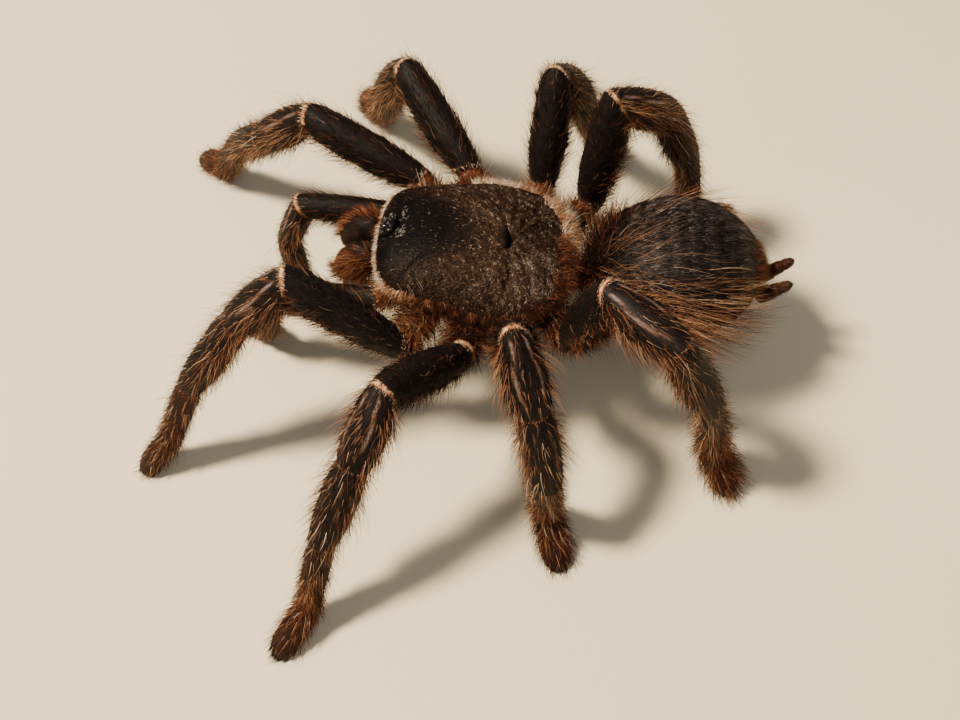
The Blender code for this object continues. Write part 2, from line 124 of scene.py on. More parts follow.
def ring(centre, along, dorsal, half_width, half_height, cut=None, lean=0.0, sides=LIMB_SIDES):
    """An ellipse of points round a centre. lean tips it into the plane of cut."""
    angle = side_angles(sides)
    side = np.cross(along, dorsal)
    offset = np.outer(half_width * np.cos(angle), side)
    offset += np.outer(half_height * np.sin(angle), dorsal)
    if cut is not None:
        offset -= np.outer(lean * (offset @ cut) / (along @ cut), along)
    return centre + offset


# Lengths and poses of the legs and palps, the same as those of the solids.
LEG_LENGTHS = {
    1: (24.0, 15.0, 18.5, 17.5, 11.0),
    2: (22.5, 14.0, 16.5, 16.0, 11.0),
    3: (20.5, 13.0, 15.0, 18.0, 11.0),
    4: (23.5, 13.5, 18.5, 22.5, 10.8),
}
LEG_POSES = {
    "left_1": ((19.6, -11.4), (-90, -79, -66, -68, -70), (46, -43, -51, -63)),
    "left_2": ((20.2, -0.4), (-31, -31, -35, -35, -35), (35, -44, -51, -65)),
    "left_3": ((17.8, 8.6), (11, 24, 22, 20, 20), (61, -51, -66, -103)),
    "left_4": ((14.8, 17.6), (55, 55, 86, 165, 48), (67, -8, -70, -78)),
    "right_1": ((-16.2, -12.2), (256, 256, 230, 230, 230), (27, -39, -44, -57)),
    "right_2": ((-19.0, -3.6), (222, 222, 207, 205, 212), (31, -52, -57, -52)),
    "right_3": ((-18.0, 9.6), (165, 165, 168, 168, 168), (61, -50, -66, -63)),
    "right_4": ((-15.0, 18.6), (128, 128, 127, 132, 131), (75, -38, -72, -85)),
}
PALP_LENGTHS = (16.5, 11.0, 12.5, 13.0)
PALP_POSES = {
    "left": ((9.6, -16.8), (-93, -112, -132, -134), (-8, -42, -78)),
    "right": ((-9.4, -17.0), (276, 276, 273, 273), (11, -64, -89)),
}
HIP_DROP = 9.6
PALP_HIP_DROP = 10.8
PAD_PRESS = 0.75

# Half-width and half-height along each segment, as of the solids, and the share of them
# that is skin, the rest being coat.
COXA_PROFILE = ((0, 2.3, 2.9), (0.6, 3.05, 3.0), (0.82, 2.9, 2.6), (1, 2.7, 2.7))
LEG_PROFILES = (
    COXA_PROFILE,
    (
        (0, 2.7, 2.8), (0.16, 3.5, 3.8), (0.45, 4.2, 4.5), (0.75, 4.1, 4.4), (0.92, 3.7, 3.8),
        (1, 3.1, 3.1),
    ),
    ((0, 3.1, 3.1), (0.24, 4.1, 4.1), (0.5, 4.6, 4.5), (0.8, 4.2, 4.1), (1, 3.4, 3.3)),
    ((0, 3.3, 3.2), (0.2, 4.0, 3.9), (0.55, 4.0, 3.9), (0.85, 3.5, 3.4), (1, 2.8, 2.8)),
    ((0, 2.6, 2.6), (0.18, 3.0, 3.0), (0.6, 2.7, 2.8), (1, 2.6, 2.7)),
    ((0, 2.6, 2.7), (0.35, 3.0, 2.8), (0.7, 3.2, 2.6), (0.9, 2.7, 2.0), (1, 1.5, 1.3)),
)
PALP_PROFILES = (
    ((0, 1.8, 2.6), (0.6, 2.5, 2.6), (0.82, 2.4, 2.4), (1, 2.2, 2.3)),
    ((0, 2.2, 2.3), (0.2, 2.6, 2.9), (0.55, 3.0, 3.2), (0.85, 3.0, 3.1), (1, 2.5, 2.6)),
    ((0, 2.5, 2.6), (0.3, 3.1, 3.1), (0.7, 3.1, 3.0), (1, 2.5, 2.5)),
    ((0, 2.5, 2.5), (0.3, 2.9, 2.9), (0.75, 2.7, 2.8), (1, 2.4, 2.4)),
    ((0, 2.4, 2.4), (0.35, 2.8, 2.7), (0.75, 2.7, 2.4), (0.93, 2.1, 1.8), (1, 1.1, 1.0)),
)
SKIN_SHARE = 0.80
RING_SPACING = 0.75
LEAN_REACH = 0.45
KNEE_LEAN = 0.96
NECK_SHARE = 0.93
COXA, FEMUR, PATELLA, TIBIA, METATARSUS = range(5)


def tarsus_pitch(height, length, profile):
    """The pitch at which a tarsus presses its pad, the last two rings, on the floor."""
    pitch = 0.0
    for _ in range(12):
        falls = [1.0]
        for share, _, half_height in profile[-2:]:
            clearance = half_height * math.cos(pitch) - PAD_PRESS
            falls.append((height - clearance) / (share * length))
        pitch = -math.asin(min(falls))
    return math.degrees(pitch)


def limb_course(pose, drop, lengths, tarsus_profile):
    """Joint points from the breastplate's rim to the tip, with each segment's direction and
    upper side."""
    (x, y), headings, pitches = pose
    root = trunk_point(math.copysign(6.0, x) * (1 - abs(y) / 34), y * 0.5, -12.4)
    hip = trunk_point(x, y, -drop)
    coxa = unit(hip - root)
    points, alongs, tops = [root, hip], [coxa], [unit(UP - coxa * coxa[2])]
    for number, (heading, length) in enumerate(zip(headings, lengths)):
        if number < len(pitches):
            pitch = pitches[number]
        else:
            pitch = tarsus_pitch(points[-1][2], length, tarsus_profile)
        along = direction(heading, pitch)
        if number == 0:
            tops.append(direction(heading, pitch + 90))
        else:
            tops.append(turned(tops[-1], alongs[-1], along))
        alongs.append(along)
        points.append(points[-1] + along * length)
    return points, alongs, tops


def loft_limb(pose, drop, lengths, profiles):
    """The grid of a limb's skin, with the segment number and the share along it per ring."""
    points, alongs, tops = limb_course(pose, drop, lengths, profiles[-1])
    halves = [unit(a + b) for a, b in zip(alongs, alongs[1:])]
    rings, segments, shares, lengths_here = [], [], [], []
    last = len(alongs) - 1
    for number, (along, top) in enumerate(zip(alongs, tops)):
        start, end = points[number], points[number + 1]
        length = np.linalg.norm(end - start)
        stations = np.array(profiles[number])
        margin = 0.3 / length
        if number == last:
            places = np.concatenate((np.linspace(margin, 0.93, 14), (0.97, 1.0, 1.012)))
        else:
            inner = margin + 0.35 / length
            places = np.linspace(inner, 1 - inner, max(6, round(length / RING_SPACING)))
            places = np.concatenate(((margin,), places, (1 - margin,)))
        for place in places:
            half_width = smooth(stations[:, (0, 1)], min(place, 1.0)) * SKIN_SHARE
            half_height = smooth(stations[:, (0, 2)], min(place, 1.0)) * SKIN_SHARE
            if place > 1.0:
                half_width, half_height = half_width * 0.45, half_height * 0.45
            near = max(0.0, 1 - place / LEAN_REACH) * KNEE_LEAN if number > 0 else 0.0
            far = max(0.0, 1 - (1 - place) / LEAN_REACH) * KNEE_LEAN if number < last else 0.0
            cut, lean = (halves[number - 1], near) if near > far else (None, 0.0)
            if far >= near and number < last:
                cut, lean = halves[number], far
            centre = start + along * (place * length)
            rings.append(ring(centre, along, top, half_width, half_height, cut, lean))
            segments.append(number)
            shares.append(min(place, 1.0))
            lengths_here.append(length)
        if number < last:
            half = halves[number]
            neck = stations[-1, 1:] * SKIN_SHARE * NECK_SHARE
            rings.append(ring(end, along, top, neck[0], neck[1], half, 1.0))
            lengths_here.append(length)
            segments.append(number)
            shares.append(1.1)
    grid = np.array(rings)
    grid[..., 2] = np.maximum(grid[..., 2], 0.0)
    return {
        "grid": grid, "segment": np.array(segments), "share": np.array(shares),
        "length": np.array(lengths_here),
    }


def height_of_sides(count):
    """How far up each side of a ring lies: 1 on top, -1 underneath."""
    return np.sin(side_angles(count))


legs = {}
for name, pose in LEG_POSES.items():
    legs[name] = loft_limb(pose, HIP_DROP, LEG_LENGTHS[int(name[-1])], LEG_PROFILES)
palps = {}
for name, pose in PALP_POSES.items():
    palps[name] = loft_limb(pose, PALP_HIP_DROP, PALP_LENGTHS, PALP_PROFILES)

# The abdomen: an egg with a slightly fuller rear, set on the narrow waist.
ABDOMEN_FRONT = np.array((-0.3, 17.4, 28.6)) + ORIGIN
ABDOMEN_REAR = np.array((-2.9, 50.2, 28.4)) + ORIGIN
ABDOMEN_HALF_WIDTH = 14.2
ABDOMEN_HALF_HEIGHT = 12.5
ABDOMEN_COAT = 1.3
ABDOMEN_RINGS = 64


def loft_abdomen():
    axis = unit(ABDOMEN_REAR - ABDOMEN_FRONT)
    length = np.linalg.norm(ABDOMEN_REAR - ABDOMEN_FRONT)
    dorsal = unit(UP - axis * axis[2])
    rings = []
    for step in range(ABDOMEN_RINGS):
        turn = math.pi * (0.012 + 0.976 * step / (ABDOMEN_RINGS - 1))
        share = (1 - math.cos(turn)) / 2
        fullness = math.sin(turn) ** 0.86 * (0.93 + 0.07 * math.sin(math.pi * share ** 1.5))
        place = ABDOMEN_COAT + share * (length - 2 * ABDOMEN_COAT)
        centre = ABDOMEN_FRONT + axis * place + dorsal * (0.8 * math.sin(turn))
        half_width = (ABDOMEN_HALF_WIDTH - ABDOMEN_COAT) * fullness
        half_height = (ABDOMEN_HALF_HEIGHT - ABDOMEN_COAT) * fullness
        rings.append(ring(centre, axis, dorsal, half_width, half_height, sides=72))
    return {"grid": np.array(rings), "share": np.linspace(0, 1, ABDOMEN_RINGS)}


abdomen = loft_abdomen()


def loft_between(start, end, profile, count, sides=20):
    """A straight tube from point to point, with (share, half-width, half-height) stations."""
    axis = unit(end - start)
    dorsal = unit(UP - axis * axis[2])
    stations = np.array(profile, float)
    rings = []
    for share in np.linspace(0, 1, count):
        half_width = smooth(stations[:, (0, 1)], share)
        half_height = smooth(stations[:, (0, 2)], share)
        centre = start + (end - start) * share
        rings.append(ring(centre, axis, dorsal, half_width, half_height, sides=sides))
    return {"grid": np.array(rings), "share": np.linspace(0, 1, count)}


pedicel = loft_between(
    trunk_point(0, 12.0, -11.5),
    ABDOMEN_FRONT + np.array((0, 3.0, -0.6)),
    ((0, 2.0, 1.8), (0.5, 1.7, 1.5), (1, 2.6, 2.4)),
    8,
)

# Spinnerets: two long silk fingers of three joints, splayed up and back.
SPINNERETS = {
    "left": (np.array((-0.6, 50.6, 23.8)) + ORIGIN, np.array((0.4, 54.6, 28.6)) + ORIGIN),
    "right": (np.array((-4.8, 50.8, 24.4)) + ORIGIN, np.array((-4.2, 54.8, 29.3)) + ORIGIN),
}
SPINNERET_PROFILE = (
    (0, 1.4, 1.4), (0.28, 1.35, 1.35), (0.33, 0.98, 0.98), (0.38, 1.18, 1.18), (0.6, 1.12, 1.12),
    (0.64, 0.8, 0.8), (0.7, 1.0, 1.0), (0.88, 0.8, 0.8), (0.96, 0.5, 0.5), (1, 0.15, 0.15),
)
spinnerets = {}
for name, (base, tip) in SPINNERETS.items():
    spinnerets[name] = loft_between(base - (tip - base) * 0.25, tip, SPINNERET_PROFILE, 40)

# The jaws: deep rounded blocks side by side under the front of the shield.
JAW_MIDDLE = 3.2
JAW_STATIONS = (
    # place along the body, half-width, top, bottom
    (-25.62, 0.3, -10.2, -11.1),
    (-25.4, 1.1, -9.4, -11.8),
    (-24.7, 2.05, -7.8, -12.7),
    (-23.1, 2.55, -6.0, -13.2),
    (-21.3, 2.75, -4.8, -13.1),
    (-19.7, 2.65, -4.8, -12.5),
    (-18.6, 2.3, -5.6, -11.6),
    (-16.0, 2.0, -8.4, -10.6),
)


def loft_jaw(side):
    stations = np.array(JAW_STATIONS)
    angle = side_angles(28)
    rings = []
    for y in np.concatenate((np.linspace(-16.0, -24.7, 22), (-25.1, -25.4, -25.55, -25.62))):
        half_width = smooth(stations[:, (0, 1)], y)
        top = smooth(stations[:, (0, 2)], y)
        bottom = smooth(stations[:, (0, 3)], y)
        x = side * JAW_MIDDLE - half_width * np.cos(angle)
        z = (top + bottom) / 2 + (top - bottom) / 2 * np.sin(angle)
        rings.append(trunk_point(x, y, z))
    return {"grid": np.array(rings), "share": np.linspace(0, 1, len(rings))}


jaws = {"left": loft_jaw(1), "right": loft_jaw(-1)}

# The breastplate, an oval plate rounded in below.
BREAST_HALF_WIDTH = 7.3
BREAST_HALF_LENGTH = 11.9
BREAST_UNDERSIDE, BREAST_DEPTH = -15.3, 6.6


def loft_breastplate():
    angle = side_angles(40)
    rings = []
    stations = ((0, 0.04), (0.02, 0.4), (0.08, 0.7), (0.3, 0.95), (0.7, 1.0), (1, 0.96))
    for share in (0, 0.02, 0.05, 0.1, 0.2, 0.3, 0.5, 0.7, 0.85, 1):
        spread = smooth(stations, share)
        x = BREAST_HALF_WIDTH * spread * np.cos(angle)
        y = 0.6 + BREAST_HALF_LENGTH * spread * np.sin(angle)
        rings.append(trunk_point(x, y, BREAST_UNDERSIDE + share * BREAST_DEPTH))
    return {"grid": np.array(rings)[:, ::-1], "share": np.linspace(0, 1, len(rings))}


breastplate = loft_breastplate()


def colour(code):
    """A linear colour from an sRGB hex code."""
    channels = [int(code[place:place + 2], 16) / 255 for place in (1, 3, 5)]
    linear = [c / 12.92 if c <= 0.04045 else ((c + 0.055) / 1.055) ** 2.4 for c in channels]
    return (*linear, 1.0)


def add_node(material, kind, links=None, stops=(), **settings):
    """Adds a node. Settings are its properties or input values, links feed its inputs from a
    socket or a node's first output, and stops are a ramp's (place, hex colour) pairs."""
    node = material.node_tree.nodes.new(kind)
    for key, value in settings.items():
        if hasattr(node, key):
            setattr(node, key, value)
        else:
            node.inputs[key.replace("_", " ")].default_value = value
    for key, source in (links or {}).items():
        socket = source.outputs[0] if isinstance(source, bpy.types.Node) else source
        material.node_tree.links.new(socket, node.inputs[key])
    for _ in stops[2:]:
        node.color_ramp.elements.new(0.5)
    for number, (place, code) in enumerate(stops):
        node.color_ramp.elements[number].position = place
        node.color_ramp.elements[number].color = colour(code)
    return node


def new_material(name):
    material = bpy.data.materials.new(name)
    material.use_nodes = True
    material.node_tree.nodes.clear()
    return material


def finish_material(material, links, **values):
    """Ends a material in one Principled shader; values sit on the shader's own sockets."""
    shader = add_node(material, "ShaderNodeBsdfPrincipled", links, **values)
    add_node(material, "ShaderNodeOutputMaterial", {"Surface": shader})
    return material


def cuticle_material():
    """Arthropod cuticle under a nap of hair: chitin, tanned dark in the tubes and left pale
    in the soft joint membranes. The eye sees a dull brown with a grain of hair sockets."""
    material = new_material("tanned_cuticle")
    where = add_node(material, "ShaderNodeTexCoord").outputs["Object"]
    # Hair sockets stand about 0.3 mm apart, and the tan is blotched every 1.4 mm.
    sockets = add_node(material, "ShaderNodeTexNoise", {"Vector": where}, Scale=3200.0, Detail=3.0)
    blotches = add_node(material, "ShaderNodeTexNoise", {"Vector": where}, Scale=700.0, Detail=5.0)
    dark = add_node(
        material, "ShaderNodeValToRGB", {"Fac": blotches}, ((0.3, "#0a0503"), (0.7, "#150b07")),
    )
    # Coxae, feet and spinnerets are rusty under their thinner hair.
    rust = add_node(material, "ShaderNodeAttribute", attribute_name="rust").outputs["Fac"]
    rusty = add_node(
        material, "ShaderNodeValToRGB", {"Fac": sockets}, ((0.3, "#2a130a"), (0.7, "#522813")),
    )
    base = add_node(material, "ShaderNodeMix", {0: rust, 6: dark, 7: rusty}, data_type="RGBA")
    # The bald streaks of knee and shin: tan along the edges, bluish grey in the middle.
    streak = add_node(material, "ShaderNodeAttribute", attribute_name="stripe").outputs["Fac"]
    grained = add_node(
        material, "ShaderNodeMath", {0: streak, 1: sockets}, operation="MULTIPLY",
    )
    stripe = add_node(
        material, "ShaderNodeValToRGB", {"Fac": grained},
        ((0.08, "#1f130d"), (0.24, "#523828"), (0.42, "#62595a")),
    )
    bald = add_node(
        material, "ShaderNodeMapRange", {"Value": streak}, From_Min=0.08, From_Max=0.45,
    )
    base = add_node(
        material, "ShaderNodeMix", {0: bald, 6: base.outputs[2], 7: stripe}, data_type="RGBA",
    )
    # The soft membranes: pale folds that fade to orange.
    membrane = add_node(material, "ShaderNodeAttribute", attribute_name="membrane").outputs["Fac"]
    crumpled = add_node(
        material, "ShaderNodeMath", {0: membrane, 1: blotches}, operation="MULTIPLY",
    )
    pale = add_node(
        material, "ShaderNodeValToRGB", {"Fac": crumpled},
        ((0.14, "#6e3517"), (0.34, "#b0703f"), (0.58, "#d9b48c")),
    )
    bared = add_node(
        material, "ShaderNodeMapRange", {"Value": membrane}, From_Min=0.05, From_Max=0.4,
    )
    base = add_node(
        material, "ShaderNodeMix", {0: bared, 6: base.outputs[2], 7: pale}, data_type="RGBA",
    )
    bump = add_node(
        material, "ShaderNodeBump", {"Height": sockets}, Strength=0.5, Distance=0.0002,
    )
    links = {"Base Color": base.outputs[2], "Normal": bump}
    return finish_material(material, links, Roughness=0.58, Specular_IOR_Level=0.14)


CUTICLE = cuticle_material()


def limb_marks(limb, hip_shows):
    """Where a limb's skin is pale membrane, bare stripe or rusty, per ring and side."""
    segment, share = limb["segment"][:, None], limb["share"][:, None]
    around = side_angles(limb["grid"].shape[1])
    top = np.sin(around)[None, :]
    to_far = (1 - share) * limb["length"][:, None]
    to_near = share * limb["length"][:, None]
    knee = (segment == FEMUR) & (share > 1) | (segment == PATELLA) & (to_near < 0.45)
    hip = (segment == COXA) & (to_far < 1.1) | (segment == FEMUR) & (to_near < 0.5)
    shin = (segment >= PATELLA) & (segment < METATARSUS) & (share > 1)
    uneven = 0.16 * np.sin(7 * around + 2 * limb["length"][0])[None, :]
    membrane = np.where(knee, np.clip(0.66 + 0.28 * top + uneven, 0, 1), 0.0)
    membrane = np.where(hip, hip_shows * np.clip(0.6 + 0.5 * top + uneven, 0, 1), membrane)
    membrane = np.where(shin, np.clip(0.1 + 0.15 * top, 0, 1), membrane)
    off_top = np.degrees(around)[None, :] - 90
    off_top = (off_top + 180) % 360 - 180
    spread = 9 + 24 * np.sin(math.pi * np.clip(0.08 + 0.84 * share, 0, 1))
    stripe = np.exp(-((off_top - spread) / 5) ** 2) + np.exp(-((off_top + spread) / 5) ** 2)
    fade = np.clip((share - 0.05) / 0.1, 0, 1) * np.clip((0.92 - share) / 0.25, 0, 1)
    fade = np.where(segment == PATELLA, fade, np.where(segment == TIBIA, 0.5 * fade, 0.0))
    stripe = stripe * fade
    rust = np.where(segment == COXA, 0.5, np.where(segment >= METATARSUS, 0.3, 0.0))
    return {"membrane": membrane, "stripe": np.clip(stripe, 0, 1), "rust": rust}


# The second left leg is drawn far out of its socket, so its hip membrane shows most.
for name, limb in (*legs.items(), *palps.items()):
    limb["marks"] = limb_marks(limb, 1.0 if name == "left_2" else 0.3)


def mark_points(mesh, name, values):
    layer = mesh.attributes.new(name, "FLOAT", "POINT")
    layer.data.foreach_set("value", np.asarray(values, np.float32).ravel())


def add_piece(name, mesh, material):
    """A piece of the animal, fixed to its one body."""
    mesh.materials.append(material)
    mesh.shade_smooth()
    piece = bpy.data.objects.new(name, mesh)
    bpy.context.scene.collection.objects.link(piece)
    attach(piece, "root")
    return piece


def join_lofts(name, lofts, material, marks=("membrane", "stripe", "rust")):
    """One mesh from closed lofts, each capped at both ends, with its marks per point."""
    points, faces, values = [], [], {mark: [] for mark in marks}
    start = 0
    for part in lofts:
        grid = part["grid"]
        rows, sides = grid.shape[:2]
        index = start + np.arange(rows * sides).reshape(rows, sides)
        after = np.roll(index, -1, axis=1)
        quads = np.stack((index[:-1], after[:-1], after[1:], index[1:]), -1).reshape(-1, 4)
        faces += [tuple(quad) for quad in quads.tolist()]
        faces.append(tuple(index[0][::-1].tolist()))
        faces.append(tuple(index[-1].tolist()))
        points.append(grid.reshape(-1, 3))
        for mark in marks:
            field = part.get("marks", {}).get(mark, 0.0)
            values[mark].append(np.broadcast_to(field, (rows, sides)).ravel())
        start += rows * sides
    mesh = bpy.data.meshes.new(name)
    mesh.from_pydata((np.concatenate(points) * MM).tolist(), [], faces)
    for mark in marks:
        mark_points(mesh, mark, np.concatenate(values[mark]))
    return add_piece(name, mesh, material)


for part in spinnerets.values():
    part["marks"] = {"rust": 0.45}
skin_lofts = [*legs.values(), *palps.values(), *jaws.values(), *spinnerets.values()]
skin_lofts += [abdomen, pedicel, breastplate]
skin = join_lofts("skin", skin_lofts, CUTICLE)
flesh = ["abdomen", "pedicel", "breastplate_and_coxae"]
flesh += [f"spinneret_{side}" for side in SPINNERETS] + [f"chelicera_{side}" for side in jaws]
for name in LEG_POSES:
    flesh += [f"leg_{name}_{part}" for part in ("femur", "patella", "tibia", "foot")]
for name in PALP_POSES:
    flesh += [f"palp_{name}_{part}" for part in ("femur", "patella", "tibia", "tarsus")]
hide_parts(*flesh)

# ---------------------------------------------------------------------------------------
# The coat of the legs and palps: bristles and down of chitin, each growing from its own
# socket and lying towards the foot. Near black on the thighs, warmer to rust on the feet,
# with long pale bristles standing through.

# Side of a bristle's patch on the map that the coat's colours are baked to.
PATCH = 0.003
# Radians in a whole turn and from one corner of a three-sided bristle to the next.
WHOLE_TURN, CORNER_TURN = 6.283, 2.0944


def scatter(part, count, rng, weight=None, closed=True):
    """Roots spread over a loft's skin, with its outward normal and the way to its far end."""
    grid = part["grid"]
    near, far = grid[:-1], grid[1:]
    if closed:
        near_next, far_next = np.roll(near, -1, axis=1), np.roll(far, -1, axis=1)
    else:
        near, near_next, far, far_next = near[:, :-1], near[:, 1:], far[:, :-1], far[:, 1:]
    area = np.linalg.norm(np.cross(far - near, near_next - near), axis=-1)
    if weight is not None:
        area = area * weight[:area.shape[0], :area.shape[1]]
    odds = (area / area.sum()).ravel()
    cells = rng.choice(odds.size, size=count, p=odds)
    row, column = np.divmod(cells, area.shape[1])
    down, across = rng.random((2, count))
    a, b = near[row, column], near_next[row, column]
    c, d = far[row, column], far_next[row, column]
    u, v = across[:, None], down[:, None]
    point = (a * (1 - u) + b * u) * (1 - v) + (c * (1 - u) + d * u) * v
    flow = unit((c - a) * (1 - u) + (d - b) * u)
    sideways = unit((b - a) * (1 - v) + (d - c) * v)
    normal = unit(np.cross(flow, sideways))
    chart = np.stack(((row + down) / area.shape[0], (column + across) / area.shape[1]), -1)
    return {
        "root": point, "flow": flow, "side": sideways, "normal": normal,
        "row": row, "column": column, "chart": chart,
    }


def waves(points, size, seed):
    """A smooth field between -1 and 1 that changes over about the given size."""
    rng = np.random.default_rng(seed)
    total = 0
    for _ in range(5):
        way = rng.normal(size=3) / size
        total = total + np.sin(points @ way + rng.random() * WHOLE_TURN)
    return total / 2.6


def new_coat():
    return {"points": [], "faces": [], "uv": [], "tip": [], "tone": [], "shade": [], "count": 0}


def grow(coat, roots, rng, length, width, lift, tone, sway=12.0, curl=0.4, wave=0.0, bends=2,
         chart=(0.0, 0.0, 1.0, 1.0), target=None, sink=0.15):
    """Grows one tapered bristle from each root. lift is its angle over the skin, curl how
    much of that it loses towards its tip, and wave its waviness as a share of its length."""
    count = len(roots["root"])
    if count == 0:
        return
    length, width = np.broadcast_to(length, count), np.broadcast_to(width, count)
    lift = np.radians(np.broadcast_to(lift, count))[:, None]
    turn = np.radians(rng.normal(0, 1, count) * sway)[:, None]
    flow, side, normal = roots["flow"], roots["side"], roots["normal"]
    lying = unit(flow * np.cos(turn) + side * np.sin(turn))
    if target is not None:
        lying = unit(lying + target)
        lying = unit(lying - normal * np.sum(lying * normal, 1, keepdims=True))
    first = unit(lying * np.cos(lift) + normal * np.sin(lift))
    low = lift * (1 - curl)
    final = unit(lying * np.cos(low) + normal * np.sin(low))
    across = unit(np.cross(first, normal + 0.35 * rng.normal(size=(count, 3))))
    phase = rng.random((count, 1)) * WHOLE_TURN
    swing = (rng.random((count, 1)) - 0.5) * 2 * wave
    position = roots["root"] - normal * sink
    step = (length / bends)[:, None]
    roll = rng.random(count) * WHOLE_TURN
    stations, ways = [position], []
    for number in range(bends):
        share = (number + 0.5) / bends
        way = unit(first * (1 - share) + final * share)
        way = unit(way + across * swing * 3.0 * np.cos(phase + 5.0 * share))
        position = position + way * step
        stations.append(position)
        ways.append(way)
    ways.append(ways[-1])
    rows = []
    for number in range(bends):
        share = number / bends
        way = ways[number] if number == 0 else unit(ways[number - 1] + ways[number])
        u = unit(np.cross(way, normal + 1e-3))
        v = np.cross(way, u)
        radius = (width / 2 * (1 - share) ** 0.7)[:, None]
        for corner in range(3):
            angle = (roll + corner * CORNER_TURN)[:, None]
            rows.append(stations[number] + radius * (u * np.cos(angle) + v * np.sin(angle)))
    rows.append(stations[-1])
    per_hair = 3 * bends + 1
    points = np.stack(rows, 1).reshape(-1, 3)
    corners = []
    for number in range(bends - 1):
        for corner in range(3):
            a, b = 3 * number + corner, 3 * number + (corner + 1) % 3
            corners += [(a, b, b + 3), (a, b + 3, a + 3)]
    for corner in range(3):
        a, b = 3 * (bends - 1) + corner, 3 * (bends - 1) + (corner + 1) % 3
        corners.append((a, b, 3 * bends))
    offsets = (coat["count"] + per_hair * np.arange(count))[:, None, None]
    faces = (np.array(corners)[None] + offsets).reshape(-1, 3)
    tip = np.array([number // 3 / bends for number in range(per_hair - 1)] + [1.0])
    spot = np.array([(number % 3) / 2 for number in range(per_hair - 1)] + [0.5])
    low_u, low_v, high_u, high_v = chart
    corner_u = low_u + PATCH + roots["chart"][:, 0] * (high_u - low_u - 3 * PATCH)
    corner_v = low_v + PATCH + roots["chart"][:, 1] * (high_v - low_v - 3 * PATCH)
    uv = np.stack((
        corner_u[:, None] + spot[None] * PATCH,
        corner_v[:, None] + tip[None] * PATCH,
    ), -1).reshape(-1, 2)
    coat["points"].append(points)
    coat["faces"].append(faces)
    coat["uv"].append(uv)
    coat["tip"].append(np.tile(tip, count))
    coat["tone"].append(np.repeat(np.clip(np.broadcast_to(tone, count), 0, 1), per_hair))
    coat["shade"].append(np.repeat(rng.random(count), per_hair))
    coat["count"] += per_hair * count


def finish_coat(name, coat, material):
    """Turns a coat into one mesh piece with its OFBake map."""
    points = np.concatenate(coat["points"]) * MM
    faces = np.concatenate(coat["faces"])
    points[:, 2] = np.maximum(points[:, 2], 0.00002)
    mesh = bpy.data.meshes.new(name)
    mesh.vertices.add(len(points))
    mesh.vertices.foreach_set("co", points.astype(np.float32).ravel())
    mesh.loops.add(faces.size)
    mesh.loops.foreach_set("vertex_index", faces.astype(np.int32).ravel())
    mesh.polygons.add(len(faces))
    mesh.polygons.foreach_set("loop_start", np.arange(0, faces.size, 3, dtype=np.int32))
    mesh.update(calc_edges=True)
    for key in ("tip", "tone", "shade"):
        mark_points(mesh, key, np.concatenate(coat[key]))
    uv = mesh.uv_layers.new(name="OFBake")
    flat = np.concatenate(coat["uv"])[faces.ravel()]
    uv.data.foreach_set("uv", flat.astype(np.float32).ravel())
    add_piece(name, mesh, material)


def setae_material(name, stops, tip_code, tip_share, roughness):
    """Setae: hollow bristles of chitin, tanned from black to rust or left clear and pale.
    They shine along their length, and their paler tips are partly their own colour, partly painted
    highlight."""
    material = new_material(name)
    tone, shade, along = (
        add_node(material, "ShaderNodeAttribute", attribute_name=mark).outputs["Fac"]
        for mark in ("tone", "shade", "tip")
    )
    body = add_node(material, "ShaderNodeValToRGB", {"Fac": tone}, stops)
    # No two bristles are tanned alike.
    darker = add_node(material, "ShaderNodeMapRange", {"Value": shade}, To_Min=0.62, To_Max=1.3)
    varied = add_node(material, "ShaderNodeHueSaturation", {"Color": body, "Value": darker})
    # Brown and pale ones lighten at their tips: partly own colour, partly painted highlight.
    reach = add_node(
        material, "ShaderNodeMapRange", {"Value": along}, From_Min=0.2, To_Max=tip_share,
    )
    tip = add_node(
        material, "ShaderNodeValToRGB", {"Fac": tone}, ((0.3, "#120a06"), (0.58, tip_code)),
    )
    base = add_node(material, "ShaderNodeMix", {0: reach, 6: varied, 7: tip}, data_type="RGBA")
    return finish_material(
        material, {"Base Color": base.outputs[2]}, Roughness=roughness, Specular_IOR_Level=0.1,
    )


SETAE_TONES = (
    (0.0, "#030201"), (0.2, "#120806"), (0.38, "#37190f"), (0.5, "#612c16"),
    (0.62, "#8c5636"), (0.76, "#b48a62"), (0.88, "#cfb594"), (1.0, "#e8dcc8"),
)
SETAE = setae_material("setae", SETAE_TONES, "#9c6a3e", 0.3, 0.5)

# Tone of the down along coxa, femur, patella, tibia, metatarsus and tarsus: 0 is near
# black, 0.5 rust and 1 cream.
DOWN_TONES = (
    (0, 0.34), (0.9, 0.24), (1.2, 0.02), (2, 0.04), (3, 0.1), (4, 0.17), (4.9, 0.3), (5.5, 0.3),
    (6, 0.2),
)


# How many hairs of each kind grow on one leg.
DOWN, MID_LENGTH, STAND_OFF, THIGH_FRINGE, LONG = 8600, 3000, 1200, 480, 520
BEARD, COXA_SHAG, JOINT_FUZZ, FOOT_BELL, BELL_PER_FLARE = 280, 1450, 760, 250, 650


